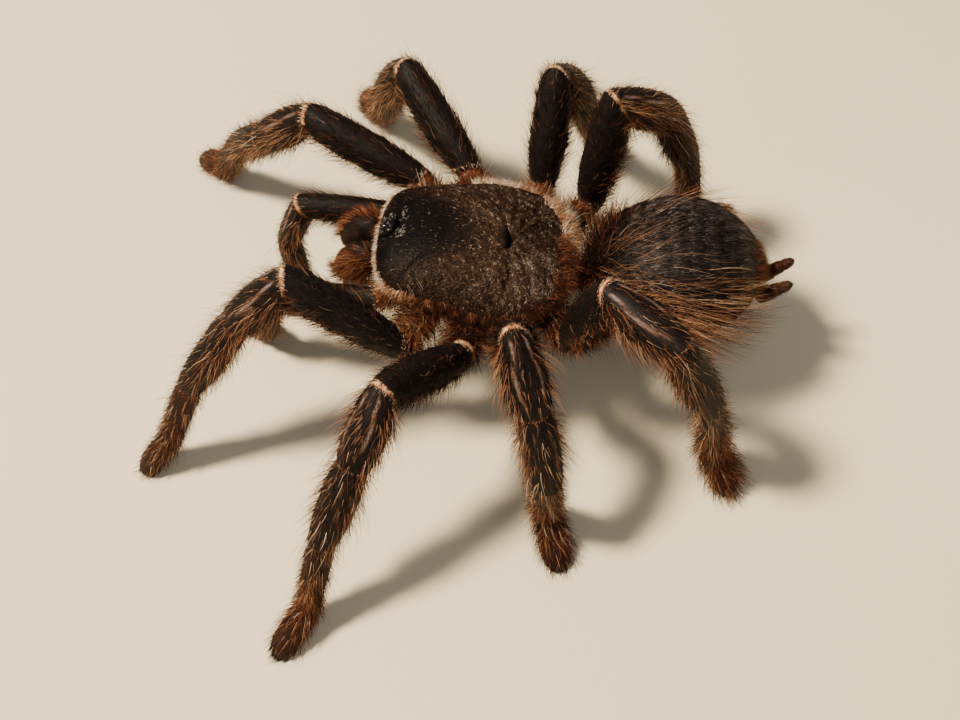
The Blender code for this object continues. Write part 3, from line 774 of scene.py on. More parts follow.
def coat_limb(name, limb, seed, amount, shorter=1.0, pale=1.0, flare=0.0, shag=1.0):
    """The whole coat of a limb: down, mid-length hair, long bristles and knee fuzz."""
    rng = np.random.default_rng(seed)
    coat = new_coat()
    grid, segment, share = limb["grid"], limb["segment"], limb["share"]
    course = segment + np.minimum(share, 1.0)
    if segment.max() == METATARSUS:
        # A palp has no metatarsus, so its tarsus takes up the places of both.
        course = np.where(segment == METATARSUS, 4 + 2 * (course - 4), course)
    marks = limb["marks"]
    top = height_of_sides(grid.shape[1])[None, :] * np.ones((len(grid), 1))
    bare = (1 - 0.7 * marks["membrane"]).clip(0, 1) * (1 - 0.9 * marks["stripe"]).clip(0, 1)
    down_tone = smooth(DOWN_TONES, course)
    thigh = np.clip(1 - np.abs(course - 1.5) / 0.6, 0, 1) ** 0.4

    def lie(roots, size=3.0, strength=0.16):
        swirl = waves(roots["root"], size, seed + 5)[:, None] * strength
        return roots["side"] * swirl

    def locks(roots):
        """Light and dark locks, about a millimetre wide, that run along the limb."""
        turn = 20 * 2 * math.pi * roots["column"] / grid.shape[1]
        place = np.stack((3 * course[roots["row"]], turn, 0 * turn), -1)
        return waves(place, 1.0, seed + 9)

    # Down, about a millimetre long, which gives the velvet and hides the skin.
    roots = scatter(limb, int(DOWN * amount), rng, bare * (1 + 0.6 * (course > 4)[:, None]))
    count = len(roots["row"])
    calm = 1 - 0.75 * thigh[roots["row"]]
    tone = down_tone[roots["row"]] + calm * (0.09 * locks(roots) + rng.normal(0, 0.06, count))
    length = (1.1 + 0.5 * rng.random(count)) * shorter
    lift = 9 + (5 + 9 * calm) * rng.random(count)
    grow(coat, roots, rng, length, 0.15, lift, tone, 6, 0.5, bends=1, target=lie(roots))
    # Mid-length hair in light and dark locks, longer and warmer underneath and on the shins.
    weight = bare * (1.2 - 0.6 * top) * np.where(course < 1, 1.2, 1.0)[:, None]
    roots = scatter(limb, int(MID_LENGTH * amount), rng, weight)
    where = top[roots["row"], roots["column"]]
    count = len(where)
    calm = 1 - thigh[roots["row"]] * np.clip(0.75 + where, 0, 1)
    edging = 0.3 * (marks["stripe"][roots["row"], roots["column"]] > 0.04)
    golden = rng.random(count) < (0.24 + 0.42 * locks(roots)) * calm + edging
    tone = down_tone[roots["row"]] + rng.normal(0, 0.06, count)
    tone = np.where(golden, 0.56 + 0.26 * rng.random(count), tone)
    kneecap = (segment[roots["row"]] == PATELLA) | (segment[roots["row"]] == TIBIA)
    length = 1.9 + 1.2 * rng.random(count) + (0.4 + 0.9 * kneecap) * (where < 0.3)
    lift = 12 + (12 + 26 * calm) * rng.random(count) ** 1.4
    width = np.where(golden, 0.075, 0.1)
    grow(coat, roots, rng, length * shorter, width, lift, tone, 9, 0.3, wave=0.03,
         target=lie(roots, 4, 0.2))
    # Fine dark and brown hair that stands off all round and softens the outline.
    weight = bare * (0.5 + 0.7 * (course[:, None] > 1.05)) * (course[:, None] < 5.5)
    roots = scatter(limb, int(STAND_OFF * amount), rng, weight)
    count = len(roots["row"])
    picked = rng.random(count)
    tone = np.where(picked < 0.22, 0.64, np.where(picked < 0.5, 0.42, 0.2))
    tone = tone + rng.normal(0, 0.06, count) - 0.1 * thigh[roots["row"]]
    length = (2.2 + 1.8 * rng.random(count)) * shorter
    length = length * (1 - 0.25 * np.clip(top[roots["row"], roots["column"]], 0, 1))
    grow(coat, roots, rng, length, 0.065, 34 + 30 * rng.random(count), tone, 16, 0.35, wave=0.04)
    # The fringe under the thigh, which deepens it.
    weight = ((course > 1.06) & (course < 1.97))[:, None] * np.clip(0.15 - top, 0, 1)
    roots = scatter(limb, int(THIGH_FRINGE * amount), rng, weight + 1e-9)
    count = len(roots["row"])
    tone = np.where(rng.random(count) < 0.35, 0.62, 0.3) + rng.normal(0, 0.06, count)
    length = (2.4 + 2.4 * rng.random(count)) * shorter
    grow(coat, roots, rng, length, 0.07, 38 + 30 * rng.random(count), tone, 14, 0.4, wave=0.08)
    # Long bristles lying out over the rest, a few of them pale.
    place = course[:, None] * np.ones_like(top)
    weight = (0.35 + 0.65 * (place > 1)) * (1.1 - 0.3 * top) * (place < 5.4) * bare
    roots = scatter(limb, int(LONG * amount), rng, weight)
    count = len(roots["row"])
    picked = rng.random(count)
    shin = (course[roots["row"]] > 2.95) & (course[roots["row"]] < 4.3)
    tone = np.where(picked < (0.16 + 0.3 * shin) * pale, 0.84, np.where(picked < 0.64, 0.62, 0.34))
    tone = tone + rng.normal(0, 0.05, count) - 0.16 * thigh[roots["row"]]
    crown = np.clip(top[roots["row"], roots["column"]], 0, 1)
    crown = crown * (np.abs(course[roots["row"]] - 2.1) < 0.7)
    length = (3.2 + 4.2 * rng.random(count) ** 2) * (1 - 0.4 * crown) * shorter
    lift = (20 + 26 * rng.random(count)) * (1 - 0.5 * crown)
    grow(coat, roots, rng, length, 0.07, lift, tone, 12, 0.65, wave=0.1, bends=4)
    # Long tan hair that hangs in curves from the sides of the knee and shin.
    beard = (segment == PATELLA) | (segment == TIBIA) & (share < 0.6)
    beard = beard[:, None] * (np.abs(top) < 0.6)
    roots = scatter(limb, int(BEARD * amount), rng, beard + 1e-9)
    count = len(roots["row"])
    tone = np.where(rng.random(count) < 0.6, 0.66, 0.42) + rng.normal(0, 0.06, count)
    length = (3.6 + 4.6 * rng.random(count) ** 1.3) * shorter
    grow(coat, roots, rng, length, 0.06, 30 + 28 * rng.random(count), tone, 16, 0.9, wave=0.12,
         bends=4)
    # Shag over the coxa, which closes the spaces between the leg roots.
    weight = (course < 0.9)[:, None] * (1.3 + 0.3 * top)
    roots = scatter(limb, int(COXA_SHAG * shag * amount), rng, weight)
    count = len(roots["row"])
    tone = 0.33 + 0.12 * waves(roots["root"], 3.0, seed + 8) + rng.normal(0, 0.1, count)
    tone += 0.28 * (rng.random(count) < 0.14)
    length = (2.0 + 3.6 * rng.random(count) ** 1.2) * shorter
    grow(coat, roots, rng, length, 0.09, 26 + 44 * rng.random(count), tone, 40, 0.5, wave=0.1)
    # Cream fuzz on the rim of the knee and, thinner, at the other bends.
    weight = np.where((np.abs(course - 1.985) < 0.04)[:, None], 0.3 + 0.7 * (top > -0.2), 0.0)
    weight += np.where((np.abs(course - 2.96) < 0.04)[:, None], 0.3 + 0.6 * (top > -0.3), 0.0)
    weight += np.where((np.abs(course - 0.99) < 0.04)[:, None], 0.4, 0.0)
    weight += np.where((np.abs(course - 3.97) < 0.05)[:, None], 0.55, 0.0)
    roots = scatter(limb, int(JOINT_FUZZ * amount), rng, weight + 1e-9)
    rim = course[roots["row"]]
    tone = np.where(rim < 2.5, 0.84, np.where(rim < 3.5, 0.77, 0.66))
    tone += rng.normal(0, 0.08, len(rim))
    tone -= 0.26 * (top[roots["row"], roots["column"]] < 0.2)
    grow(coat, roots, rng, 0.5 + 0.6 * rng.random(len(tone)), 0.1, 34, tone, 24, 0.3, bends=1)
    # The rust hair that flares out like a bell over the foot.
    spread = 0.38 + 0.1 * flare
    weight = np.exp(-((course - 4.72 - 0.2 * flare) / spread) ** 2)[:, None] * (1.2 + 0.4 * top)
    roots = scatter(limb, int((FOOT_BELL + BELL_PER_FLARE * flare) * amount), rng, weight)
    tone = 0.4 + rng.normal(0, 0.1, len(roots["row"])) - 0.1 * locks(roots)
    tone += 0.26 * (rng.random(len(tone)) < 0.14)
    length = 2.0 + 0.5 * flare + (0.8 + 0.8 * flare) * rng.random(len(tone))
    lift = 24 + (16 + 16 * flare) * rng.random(len(tone))
    grow(coat, roots, rng, length, 0.09, lift, tone, 18, 0.75, wave=0.08)
    finish_coat(name, coat, SETAE)


FLARES = {"left_3": 1.5, "left_4": 2.2, "right_2": 1.3, "right_1": 0.9, "left_2": 0.7}
SHAGS = {"left_1": 2.6, "left_2": 2.4}
for number, (name, limb) in enumerate(legs.items()):
    flare, shag = FLARES.get(name, 0.4), SHAGS.get(name, 1.0)
    coat_limb(f"coat_leg_{name}", limb, 100 + number, 1.0, flare=flare, shag=shag)
for number, (name, limb) in enumerate(palps.items()):
    coat_limb(f"coat_palp_{name}", limb, 120 + number, 0.55, 0.8, pale=0.7, shag=2.0)

# ---------------------------------------------------------------------------------------
# The shield over the front half: one thick plate of cuticle, tanned near black, domed over
# the head and marked by furrows that run out from a deep pit, where the gut's muscles hold.

SHIELD_UNDERSIDE = -8.0
SHIELD_RIM = 1.4
SHIELD_SINK = 0.3
# Half-width, and height of the middle line, at places from the rounded front to the rear.
SHIELD_OUTLINE = (
    (-18.3, 3.0), (-18.0, 5.6), (-17.3, 8.0), (-16.2, 9.9), (-14.4, 11.2), (-10.0, 12.3),
    (-3.5, 13.6), (2.0, 14.5), (8.3, 13.6), (13.0, 10.9), (15.5, 8.0), (16.6, 5.2),
)
SHIELD_CREST = (
    (-18.3, -5.4), (-17.8, -4.0), (-16.8, -2.7), (-14.6, -1.3), (-8.0, 0.0), (1.7, -1.0),
    (10.0, -2.4), (14.1, -3.8), (16.6, -5.2),
)
PIT_PLACE = 5.4
PIT_TOP = -2.0
# Furrows: angle from the head's direction, depth and half-width. The first bounds the head.
FURROWS = ((30, 0.5, 0.75), (64, 0.3, 0.55), (92, 0.34, 0.5), (118, 0.34, 0.5), (146, 0.28, 0.5))


def shield_height(x, y, furrowed=True):
    """Height of the shield's upper side in the trunk's frame."""
    across = np.minimum(1.0, np.abs(x) / smooth(SHIELD_OUTLINE, y))
    rim = SHIELD_UNDERSIDE + SHIELD_RIM
    dome = (smooth(SHIELD_CREST, y) - rim) * np.sqrt(1 - across ** 2.4)
    pit = 1.1 * np.exp(-((x / 2.4) ** 2) - ((y - PIT_PLACE) / 1.3) ** 2)
    if not furrowed:
        return rim + dome - pit
    # The pit is a crescent that opens forward.
    bow = y - PIT_PLACE + 0.16 * x * x - 0.3
    pit = 0.5 * pit + 1.5 * np.exp(-((x / 2.3) ** 4) - (bow / 0.5) ** 2)
    away = np.hypot(x, y - PIT_PLACE)
    heading = np.degrees(np.arctan2(np.abs(x), -(y - PIT_PLACE)))
    total = 0.0
    for angle, depth, width in FURROWS:
        bent = angle + 5 * np.sin(away / 3.2)
        gap = np.radians(heading - bent) * np.maximum(away, 1.0) / width
        total = total + depth * np.exp(-(gap ** 2)) * np.clip((away - 1.5) / 2.0, 0, 1)
    total = total * np.clip((0.98 - across) / 0.2, 0, 1)
    return rim + dome - np.minimum(pit + total, 0.8 * dome)


def loft_shield():
    """The upper side as a grid, with rows closer together where both ends round off."""
    along = np.concatenate((
        -17.45 - 0.85 * np.sin(np.linspace(0.5, 0.0, 14) * math.pi),
        np.linspace(-17.3, 14.8, 116),
        14.95 + 1.65 * np.sin(np.linspace(0.0, 0.5, 10) * math.pi),
    ))
    across = np.sin(np.linspace(-0.5, 0.5, 97) * math.pi)
    y = along[:, None] * np.ones_like(across)
    x = across[None, :] * (smooth(SHIELD_OUTLINE, y) - SHIELD_SINK)
    height = shield_height(x, y) - SHIELD_SINK
    return trunk_point(x, y, height), x, y


def head_share(x, y):
    """How far a place is on the bare dark head: a wedge that widens forward of the pit."""
    wedge = np.maximum(0.62 * (PIT_PLACE - y), 0.3)
    return np.clip(1.2 - (np.abs(x) / wedge) ** 2, 0, 1) * np.clip((3.0 - y) / 9, 0, 1)


def build_shield():
    top, x, y = loft_shield()
    rows, columns = top.shape[:2]
    lower = trunk_point(x * 0.95, y * 0.97, np.full_like(x, SHIELD_UNDERSIDE + 0.1))
    index = np.arange(rows * columns).reshape(rows, columns)
    under = index + rows * columns
    quads = [np.stack((index[:-1, :-1], index[:-1, 1:], index[1:, 1:], index[1:, :-1]), -1)]
    quads.append(np.stack((under[:-1, :-1], under[1:, :-1], under[1:, 1:], under[:-1, 1:]), -1))
    faces = [tuple(q) for group in quads for q in group.reshape(-1, 4).tolist()]
    border = np.concatenate((
        index[0, :-1], index[:-1, -1], index[-1, :0:-1], index[:0:-1, 0],
    ))
    below = border + rows * columns
    for a, b, c, d in zip(border, np.roll(border, -1), np.roll(below, -1), below):
        faces.append((int(b), int(a), int(d), int(c)))
    mesh = bpy.data.meshes.new("shield")
    points = np.concatenate((top.reshape(-1, 3), lower.reshape(-1, 3))) * MM
    mesh.from_pydata(points.tolist(), [], faces)
    mark_points(mesh, "head", np.concatenate((head_share(x, y).ravel(), np.zeros(y.size))))
    return add_piece("shield", mesh, SHIELD)


def shield_material():
    """Thick tanned cuticle, near black and faintly glossy over the head, duller and browner
    behind under a thin flat nap, with a fine grain of sockets."""
    material = new_material("shield_cuticle")
    where = add_node(material, "ShaderNodeTexCoord").outputs["Object"]
    # Sockets about 0.4 mm apart, and clouds in the tan about 3 mm across.
    grain = add_node(material, "ShaderNodeTexNoise", {"Vector": where}, Scale=2400.0, Detail=4.0)
    clouds = add_node(material, "ShaderNodeTexNoise", {"Vector": where}, Scale=330.0, Detail=5.0)
    front = add_node(
        material, "ShaderNodeValToRGB", {"Fac": clouds}, ((0.35, "#040303"), (0.7, "#0c0806")),
    )
    rear = add_node(
        material, "ShaderNodeValToRGB", {"Fac": grain}, ((0.35, "#140c08"), (0.7, "#3d2a1d")),
    )
    head = add_node(material, "ShaderNodeAttribute", attribute_name="head").outputs["Fac"]
    base = add_node(material, "ShaderNodeMix", {0: head, 6: rear, 7: front}, data_type="RGBA")
    bump = add_node(material, "ShaderNodeBump", {"Height": grain}, Strength=0.6, Distance=0.00025)
    links = {"Base Color": base.outputs[2], "Normal": bump}
    return finish_material(material, links, Roughness=0.5, Specular_IOR_Level=0.06)


SHIELD = shield_material()
shield = build_shield()
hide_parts("carapace")


SHIELD_TONES = (
    (0.0, "#050303"), (0.3, "#20140c"), (0.5, "#523a2a"), (0.7, "#8a7059"), (1.0, "#d0c4b4"),
)
SHIELD_SETAE = setae_material("shield_setae", SHIELD_TONES, "#7d644c", 0.15, 0.45)
NAP = 31000


def coat_shield():
    """Flat nap on the shield, running out from the pit in fine streaks."""
    rng = np.random.default_rng(7)
    coat = new_coat()
    top, x, y = loft_shield()
    x, y = x[:, ::-1], y[:, ::-1]
    head = head_share(x, y)
    roots = scatter({"grid": top[:, ::-1]}, NAP, rng, 1 - 0.6 * head, closed=False)
    out = roots["root"] - trunk_point(0, PIT_PLACE, -1.5)
    out = unit(out + 4.0 * waves(roots["root"], 1.2, 5)[:, None] * roots["side"])
    roots["flow"] = unit(out - roots["normal"] * np.sum(out * roots["normal"], 1, keepdims=True))
    roots["side"] = np.cross(roots["normal"], roots["flow"])
    dark = head[roots["row"], roots["column"]]
    behind = np.clip((y[roots["row"], roots["column"]] + 4) / 16, 0, 1)
    tone = 0.19 + 0.3 * behind - 0.2 * dark + rng.normal(0, 0.08, len(dark))
    tufts = waves(roots["root"], 0.32, 9) + 0.6 * waves(roots["root"], 0.9, 10)
    tone += 0.17 * (1 - 0.8 * dark) * tufts
    # Scattered pale flecks, fewer but brighter on the head: partly pale hairs, partly painted
    # glints.
    tone += np.where(rng.random(len(dark)) < 0.15 - 0.09 * dark, 0.4 + 0.25 * dark, 0)
    # The nap darkens in and round the pit: painted shade in the hollow.
    hollow = roots["root"] - trunk_point(0, PIT_PLACE, PIT_TOP)
    tone -= 0.34 * np.exp(-np.sum(hollow ** 2, 1) / 3.0)
    length = 0.36 + 0.4 * rng.random(len(dark)) + 0.3 * behind * rng.random(len(dark))
    width = np.where(tone > 0.4, 0.085, 0.12)
    grow(coat, roots, rng, length, width, 10 + 20 * rng.random(len(dark)), tone, 36, 0.6, bends=1,
         sink=0.05)
    finish_coat("coat_shield", coat, SHIELD_SETAE)


coat_shield()


RIM_FRONT, RIM_REAR = -18.25, 16.5
CORNER_BRISTLES = 5


def rim_roots(count, rng, low, high, inset):
    """Roots along the shield's rim between two bearings; 0 is the middle of its front and
    positive bearings are on the animal's left."""
    bearing = np.radians(low + (high - low) * rng.random(count))
    x_way, y_way = np.sin(bearing), -np.cos(bearing)
    radius = np.zeros(count)
    for reach in np.linspace(5, 19, 90):
        inside = (y_way * reach > RIM_FRONT) & (y_way * reach < RIM_REAR)
        inside &= np.abs(x_way * reach) < smooth(SHIELD_OUTLINE, y_way * reach)
        radius = np.where(inside, reach, radius)
    radius = radius - 0.15 - rng.random(count) ** 2 * inset
    x, y = x_way * radius, y_way * radius
    root = trunk_point(x, y, shield_height(x, y) - SHIELD_SINK - 0.3 * rng.random(count))
    outward = trunk_point(x_way, y_way, 0.0) - trunk_point(0, 0, 0)
    normal = unit(UP + 0.35 * outward)
    flow = unit(outward - normal * np.sum(outward * normal, 1, keepdims=True))
    chart = np.stack((0.5 + x / 30, 0.5 + y / 38), -1)
    return {
        "root": root, "flow": flow, "side": np.cross(normal, flow), "normal": normal,
        "chart": np.clip(chart, 0, 1),
    }


RIM_FRINGES = (
    # bearings, count, length, tone, lift, how unruly and how far in from the rim
    (-27, 34, 950, 1.1, 0.84, -18, 30, 0.6),
    (-36, 43, 420, 1.0, 0.7, -18, 34, 0.7),
    (30, 46, 300, 1.7, 0.66, -10, 30, 0.6),
    (40, 80, 800, 1.9, 0.42, -22, 34, 0.4),
    (80, 135, 1400, 2.3, 0.4, -26, 34, 0.3),
    (-80, -27, 800, 1.2, 0.42, 0, 26, 0.4),
    (-150, -80, 1500, 1.9, 0.7, 6, 42, 0.8),
    (128, 162, 1300, 2.6, 0.38, -10, 40, 1.2),
    (156, 190, 1400, 3.1, 0.5, 6, 44, 3.0),
    (-172, -138, 1300, 2.7, 0.7, 8, 42, 2.2),
)


def coat_rim():
    """The fringe round the shield's rim: cream over the jaws, pinkish and rusty behind."""
    rng = np.random.default_rng(11)
    coat = new_coat()
    for low, high, count, length, tone, lift, unruly, inset in RIM_FRINGES:
        roots = rim_roots(count, rng, low, high, inset)
        tones = tone + rng.normal(0, 0.13, count) + 0.2 * waves(roots["root"], 1.3, 3)
        lengths = length * (0.3 + 1.1 * rng.random(count) ** 1.3)
        lifts = lift + 1.2 * unruly * rng.random(count)
        grow(coat, roots, rng, lengths, 0.085, lifts, tones, unruly, 0.5, wave=0.1)
    # Stiff pale bristles that stand up over each corner of the face.
    for low in (42, -54):
        roots = rim_roots(CORNER_BRISTLES, rng, low, low + 12, 1.2)
        length = 4.0 + 1.5 * rng.random(CORNER_BRISTLES)
        grow(coat, roots, rng, length, 0.1, 105, 1.0, 14, 0.1, bends=3)
    finish_coat("coat_rim", coat, SETAE)


coat_rim()

# ---------------------------------------------------------------------------------------
# The eyes: eight clear lenses of cuticle set in a low dark mound behind the shield's front
# edge. Each is polished by nature and gives one small sharp glint.

MOUND_PLACE = -16.0
MOUND_SIZE = (2.2, 1.5, 1.1)
MOUND_HAIRS, BROW_HAIRS, SILVER_HAIRS = 1100, 700, 46


def build_mound():
    angle = 2 * math.pi * np.arange(48) / 48
    rings = []
    for turn in np.linspace(0, math.pi / 2 * 0.97, 16):
        spread, rise = math.cos(turn), math.sin(turn)
        x = MOUND_SIZE[0] * spread * np.cos(angle) * 0.98
        y = MOUND_PLACE - MOUND_SIZE[1] * spread * np.sin(angle) * 0.98
        height = shield_height(x, y, furrowed=False) + 0.1 + MOUND_SIZE[2] * rise * 0.97
        rings.append(trunk_point(x, y, height - (0.5 if turn == 0 else 0.0)))
    return {"grid": np.array(rings), "marks": {"head": 1.0}}


mound = join_lofts("eye_mound_cuticle", [build_mound()], SHIELD, marks=("head",))
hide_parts("eye_mound")


def coat_mound():
    """Short black hair that stands between the eyes, with a few silver ones."""
    rng = np.random.default_rng(19)
    coat = new_coat()
    roots = scatter(build_mound(), MOUND_HAIRS, rng)
    roots["normal"] = unit(roots["root"] - trunk_point(0, MOUND_PLACE, -4.0))
    tone = 0.03 + 0.8 * (rng.random(MOUND_HAIRS) < 0.04)
    length = 0.4 + 0.5 * rng.random(MOUND_HAIRS)
    grow(coat, roots, rng, length, 0.08, 42, tone, 60, 0.3, bends=1)
    top, x, y = loft_shield()
    near = np.exp(-(x ** 2 + (y - MOUND_PLACE) ** 2) / 9.0)[:, ::-1]
    roots = scatter({"grid": top[:, ::-1]}, BROW_HAIRS, rng, near, closed=False)
    length = 0.5 + 0.5 * rng.random(BROW_HAIRS)
    grow(coat, roots, rng, length, 0.09, 34, 0.06, 70, 0.3, bends=1)
    # Silver hairs that lean back from the mound's rear corners.
    corner = np.exp(-((np.abs(x) - 1.9) ** 2 + (y - MOUND_PLACE - 2.0) ** 2) / 0.6)[:, ::-1]
    roots = scatter({"grid": top[:, ::-1]}, SILVER_HAIRS, rng, corner, closed=False)
    length = 0.7 + 0.7 * rng.random(SILVER_HAIRS)
    grow(coat, roots, rng, length, 0.09, 30, 0.95, 40, 0.3, bends=1)
    finish_coat("coat_mound", coat, SHIELD_SETAE)


coat_mound()


def lens_material():
    """Lens cuticle: clear chitin over a black cup, polished and wet-looking."""
    material = new_material("lens_cuticle")
    return finish_material(
        material, {}, Base_Color=colour("#110b08"), Roughness=0.06, Coat_Weight=1.0,
        Coat_Roughness=0.02,
    )


LENS = lens_material()
for place in ("front_middle", "front_side", "rear_side", "rear_middle"):
    for side in ("left", "right"):
        low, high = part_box(f"eye_{place}_{side}")
        radius = (high.z - low.z) / 2
        bpy.ops.mesh.primitive_uv_sphere_add(
            segments=32, ring_count=20, radius=radius, location=(low + high) / 2,
        )
        lens = bpy.context.object
        lens.name = f"lens_{place}_{side}"
        lens.data.shade_smooth()
        lens.data.materials.append(LENS)
        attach(lens, "root")
        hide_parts(f"eye_{place}_{side}")

# ---------------------------------------------------------------------------------------
# Fangs and claws: solid horn-hard chitin, black and polished. The fangs fold back under
# the jaws, and each foot ends in two small hooked claws half hidden by its hair.


def horn_material():
    """Sclerotised chitin of fang and claw, worn smooth: glossy black with a reddish cast."""
    material = new_material("fang_chitin")
    return finish_material(
        material, {}, Base_Color=colour("#140906"), Roughness=0.18, Coat_Weight=0.4,
    )


HORN = horn_material()


FANG_LENGTH, FANG_BEND, FANG_SWEEP = 6.8, 1.7, 0.8 * math.pi


def loft_fang(side):
    """A fang's curved blade, from under the end of its jaw back towards the mouth."""
    rings = []
    for share in np.linspace(0, 1, 22):
        turn = FANG_SWEEP * share
        centre = trunk_point(
            side * (JAW_MIDDLE - 0.9 * share), -24.0 + FANG_LENGTH * share,
            -15.1 - FANG_BEND * math.sin(turn),
        )
        slope = -FANG_BEND * FANG_SWEEP * math.cos(turn) / FANG_LENGTH
        along = unit(trunk_point(0, 1, slope) - trunk_point(0, 0, 0))
        dorsal = unit(np.cross(along, (-1.0, 0.0, 0.0)))
        radius = 0.97 * (0.06 + 1.09 * (1 - share) ** 0.75)
        rings.append(ring(centre, along, dorsal, radius, radius, sides=20))
    return {"grid": np.array(rings)}


def loft_knuckle(side):
    """The broad root of a fang, hinged inside the end of its jaw."""
    rings = []
    for share in np.linspace(0, 1, 6):
        centre = trunk_point(side * JAW_MIDDLE, -23.6 - 0.2 * share, -12.2 - 3.0 * share)
        along, dorsal = trunk_point(0, -0.07, -1.0) - trunk_point(0, 0, 0), np.array((0, -1.0, 0))
        radius = 1.3 - 0.5 * share ** 3
        rings.append(ring(centre, unit(along), dorsal, radius, radius, sides=20))
    return {"grid": np.array(rings)}


for name, side in (("left", 1), ("right", -1)):
    parts = [loft_knuckle(side), loft_fang(side)]
    fang = join_lofts(f"fang_{name}_horn", parts, HORN, marks=())
    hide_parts(f"fang_{name}")


def loft_claw(limb, side):
    """A claw from the upper side of a foot's tip, hooking down to the floor."""
    grid = limb["grid"]
    tip, before = grid[-2].mean(0), grid[-6].mean(0)
    along = unit(tip - before)
    level = unit(np.array((along[0], along[1], 0.0)))
    across = np.cross(level, UP)
    rings = []
    for share in np.linspace(0, 1, 9):
        turn = share * 1.5
        centre = tip + across * side * 0.5 + level * (1.3 * math.sin(turn) - 0.3)
        centre = centre + UP * (0.8 + 0.2 * math.sin(2 * turn) - 0.75 * share ** 2)
        centre[2] = max(centre[2], 0.2 * (1 - share) + 0.05)
        way = unit(level * math.cos(turn) - UP * (0.2 + share))
        radius = 0.02 + 0.17 * (1 - share) ** 0.8
        rings.append(ring(centre, way, unit(np.cross(across, way)), radius, radius, sides=8))
    return {"grid": np.array(rings)}


claw_lofts = [loft_claw(limb, side) for limb in legs.values() for side in (1, -1)]
claws = join_lofts("claws", claw_lofts, HORN, marks=())

# ---------------------------------------------------------------------------------------
# The coat of the jaws: short golden-brown bristles of chitin, combed down and forward, and
# longer on the outer sides, where they close the space to the roots of the palps.

JAW_HAIRS, JAW_FUZZ = 5200, 1000


def coat_jaws():
    rng = np.random.default_rng(31)
    coat = new_coat()
    for number, jaw in enumerate(jaws.values()):
        half = (0.5 * number, 0.0, 0.5 * number + 0.5, 1.0)
        sides = jaw["grid"].shape[1]
        top = height_of_sides(sides)
        roots = scatter(jaw, JAW_HAIRS, rng)
        above = top[roots["column"]]
        tone = 0.34 + 0.16 * np.clip(0.55 - above, 0, 1) + rng.normal(0, 0.1, JAW_HAIRS)
        tone += 0.1 * waves(roots["root"], 0.8, 33)
        band = np.exp(-((jaw["share"][roots["row"]] - 0.42) / 0.1) ** 2) * (above > 0.2)
        tone -= 0.22 * band
        length = 0.8 + 0.3 * rng.random(JAW_HAIRS)
        lift = 12 + 10 * rng.random(JAW_HAIRS)
        grow(coat, roots, rng, length, 0.1, lift, tone, 12, 0.4, bends=1, chart=half)
        # Longer fuzz that widens the outer side.
        outer = 1 if number == 0 else -1
        weight = np.clip(0.3 - outer * np.cos(side_angles(sides)), 0, 1)[None, :]
        weight = weight * np.ones((len(jaw["grid"]), 1))
        roots = scatter(jaw, JAW_FUZZ, rng, weight)
        tone = 0.47 + rng.normal(0, 0.12, JAW_FUZZ)
        length = 1.6 + 1.8 * rng.random(JAW_FUZZ)
        grow(coat, roots, rng, length, 0.085, 44, tone, 22, 0.3, wave=0.06, chart=half)
    finish_coat("coat_jaws", coat, SETAE)


coat_jaws()

# ---------------------------------------------------------------------------------------
# The coat of the abdomen: dark velvet, with long wavy bristles swept back through it,
# cream to orange, thickest on the flanks and fanned up over the waist.

ABDOMEN_TONES = (
    (0.0, "#060403"), (0.25, "#1c1410"), (0.45, "#483b34"), (0.7, "#85746a"), (1.0, "#c4b29c"),
)
ABDOMEN_SETAE = setae_material("velvet_setae", ABDOMEN_TONES, "#6e5c4a", 0.2, 0.5)
# How many hairs of each kind grow on the abdomen.
VELVET, SWEPT_BRISTLES, WAVY_BRISTLES, REAR_HAIRS, FAN_HAIRS = 30000, 2150, 40, 1300, 2300


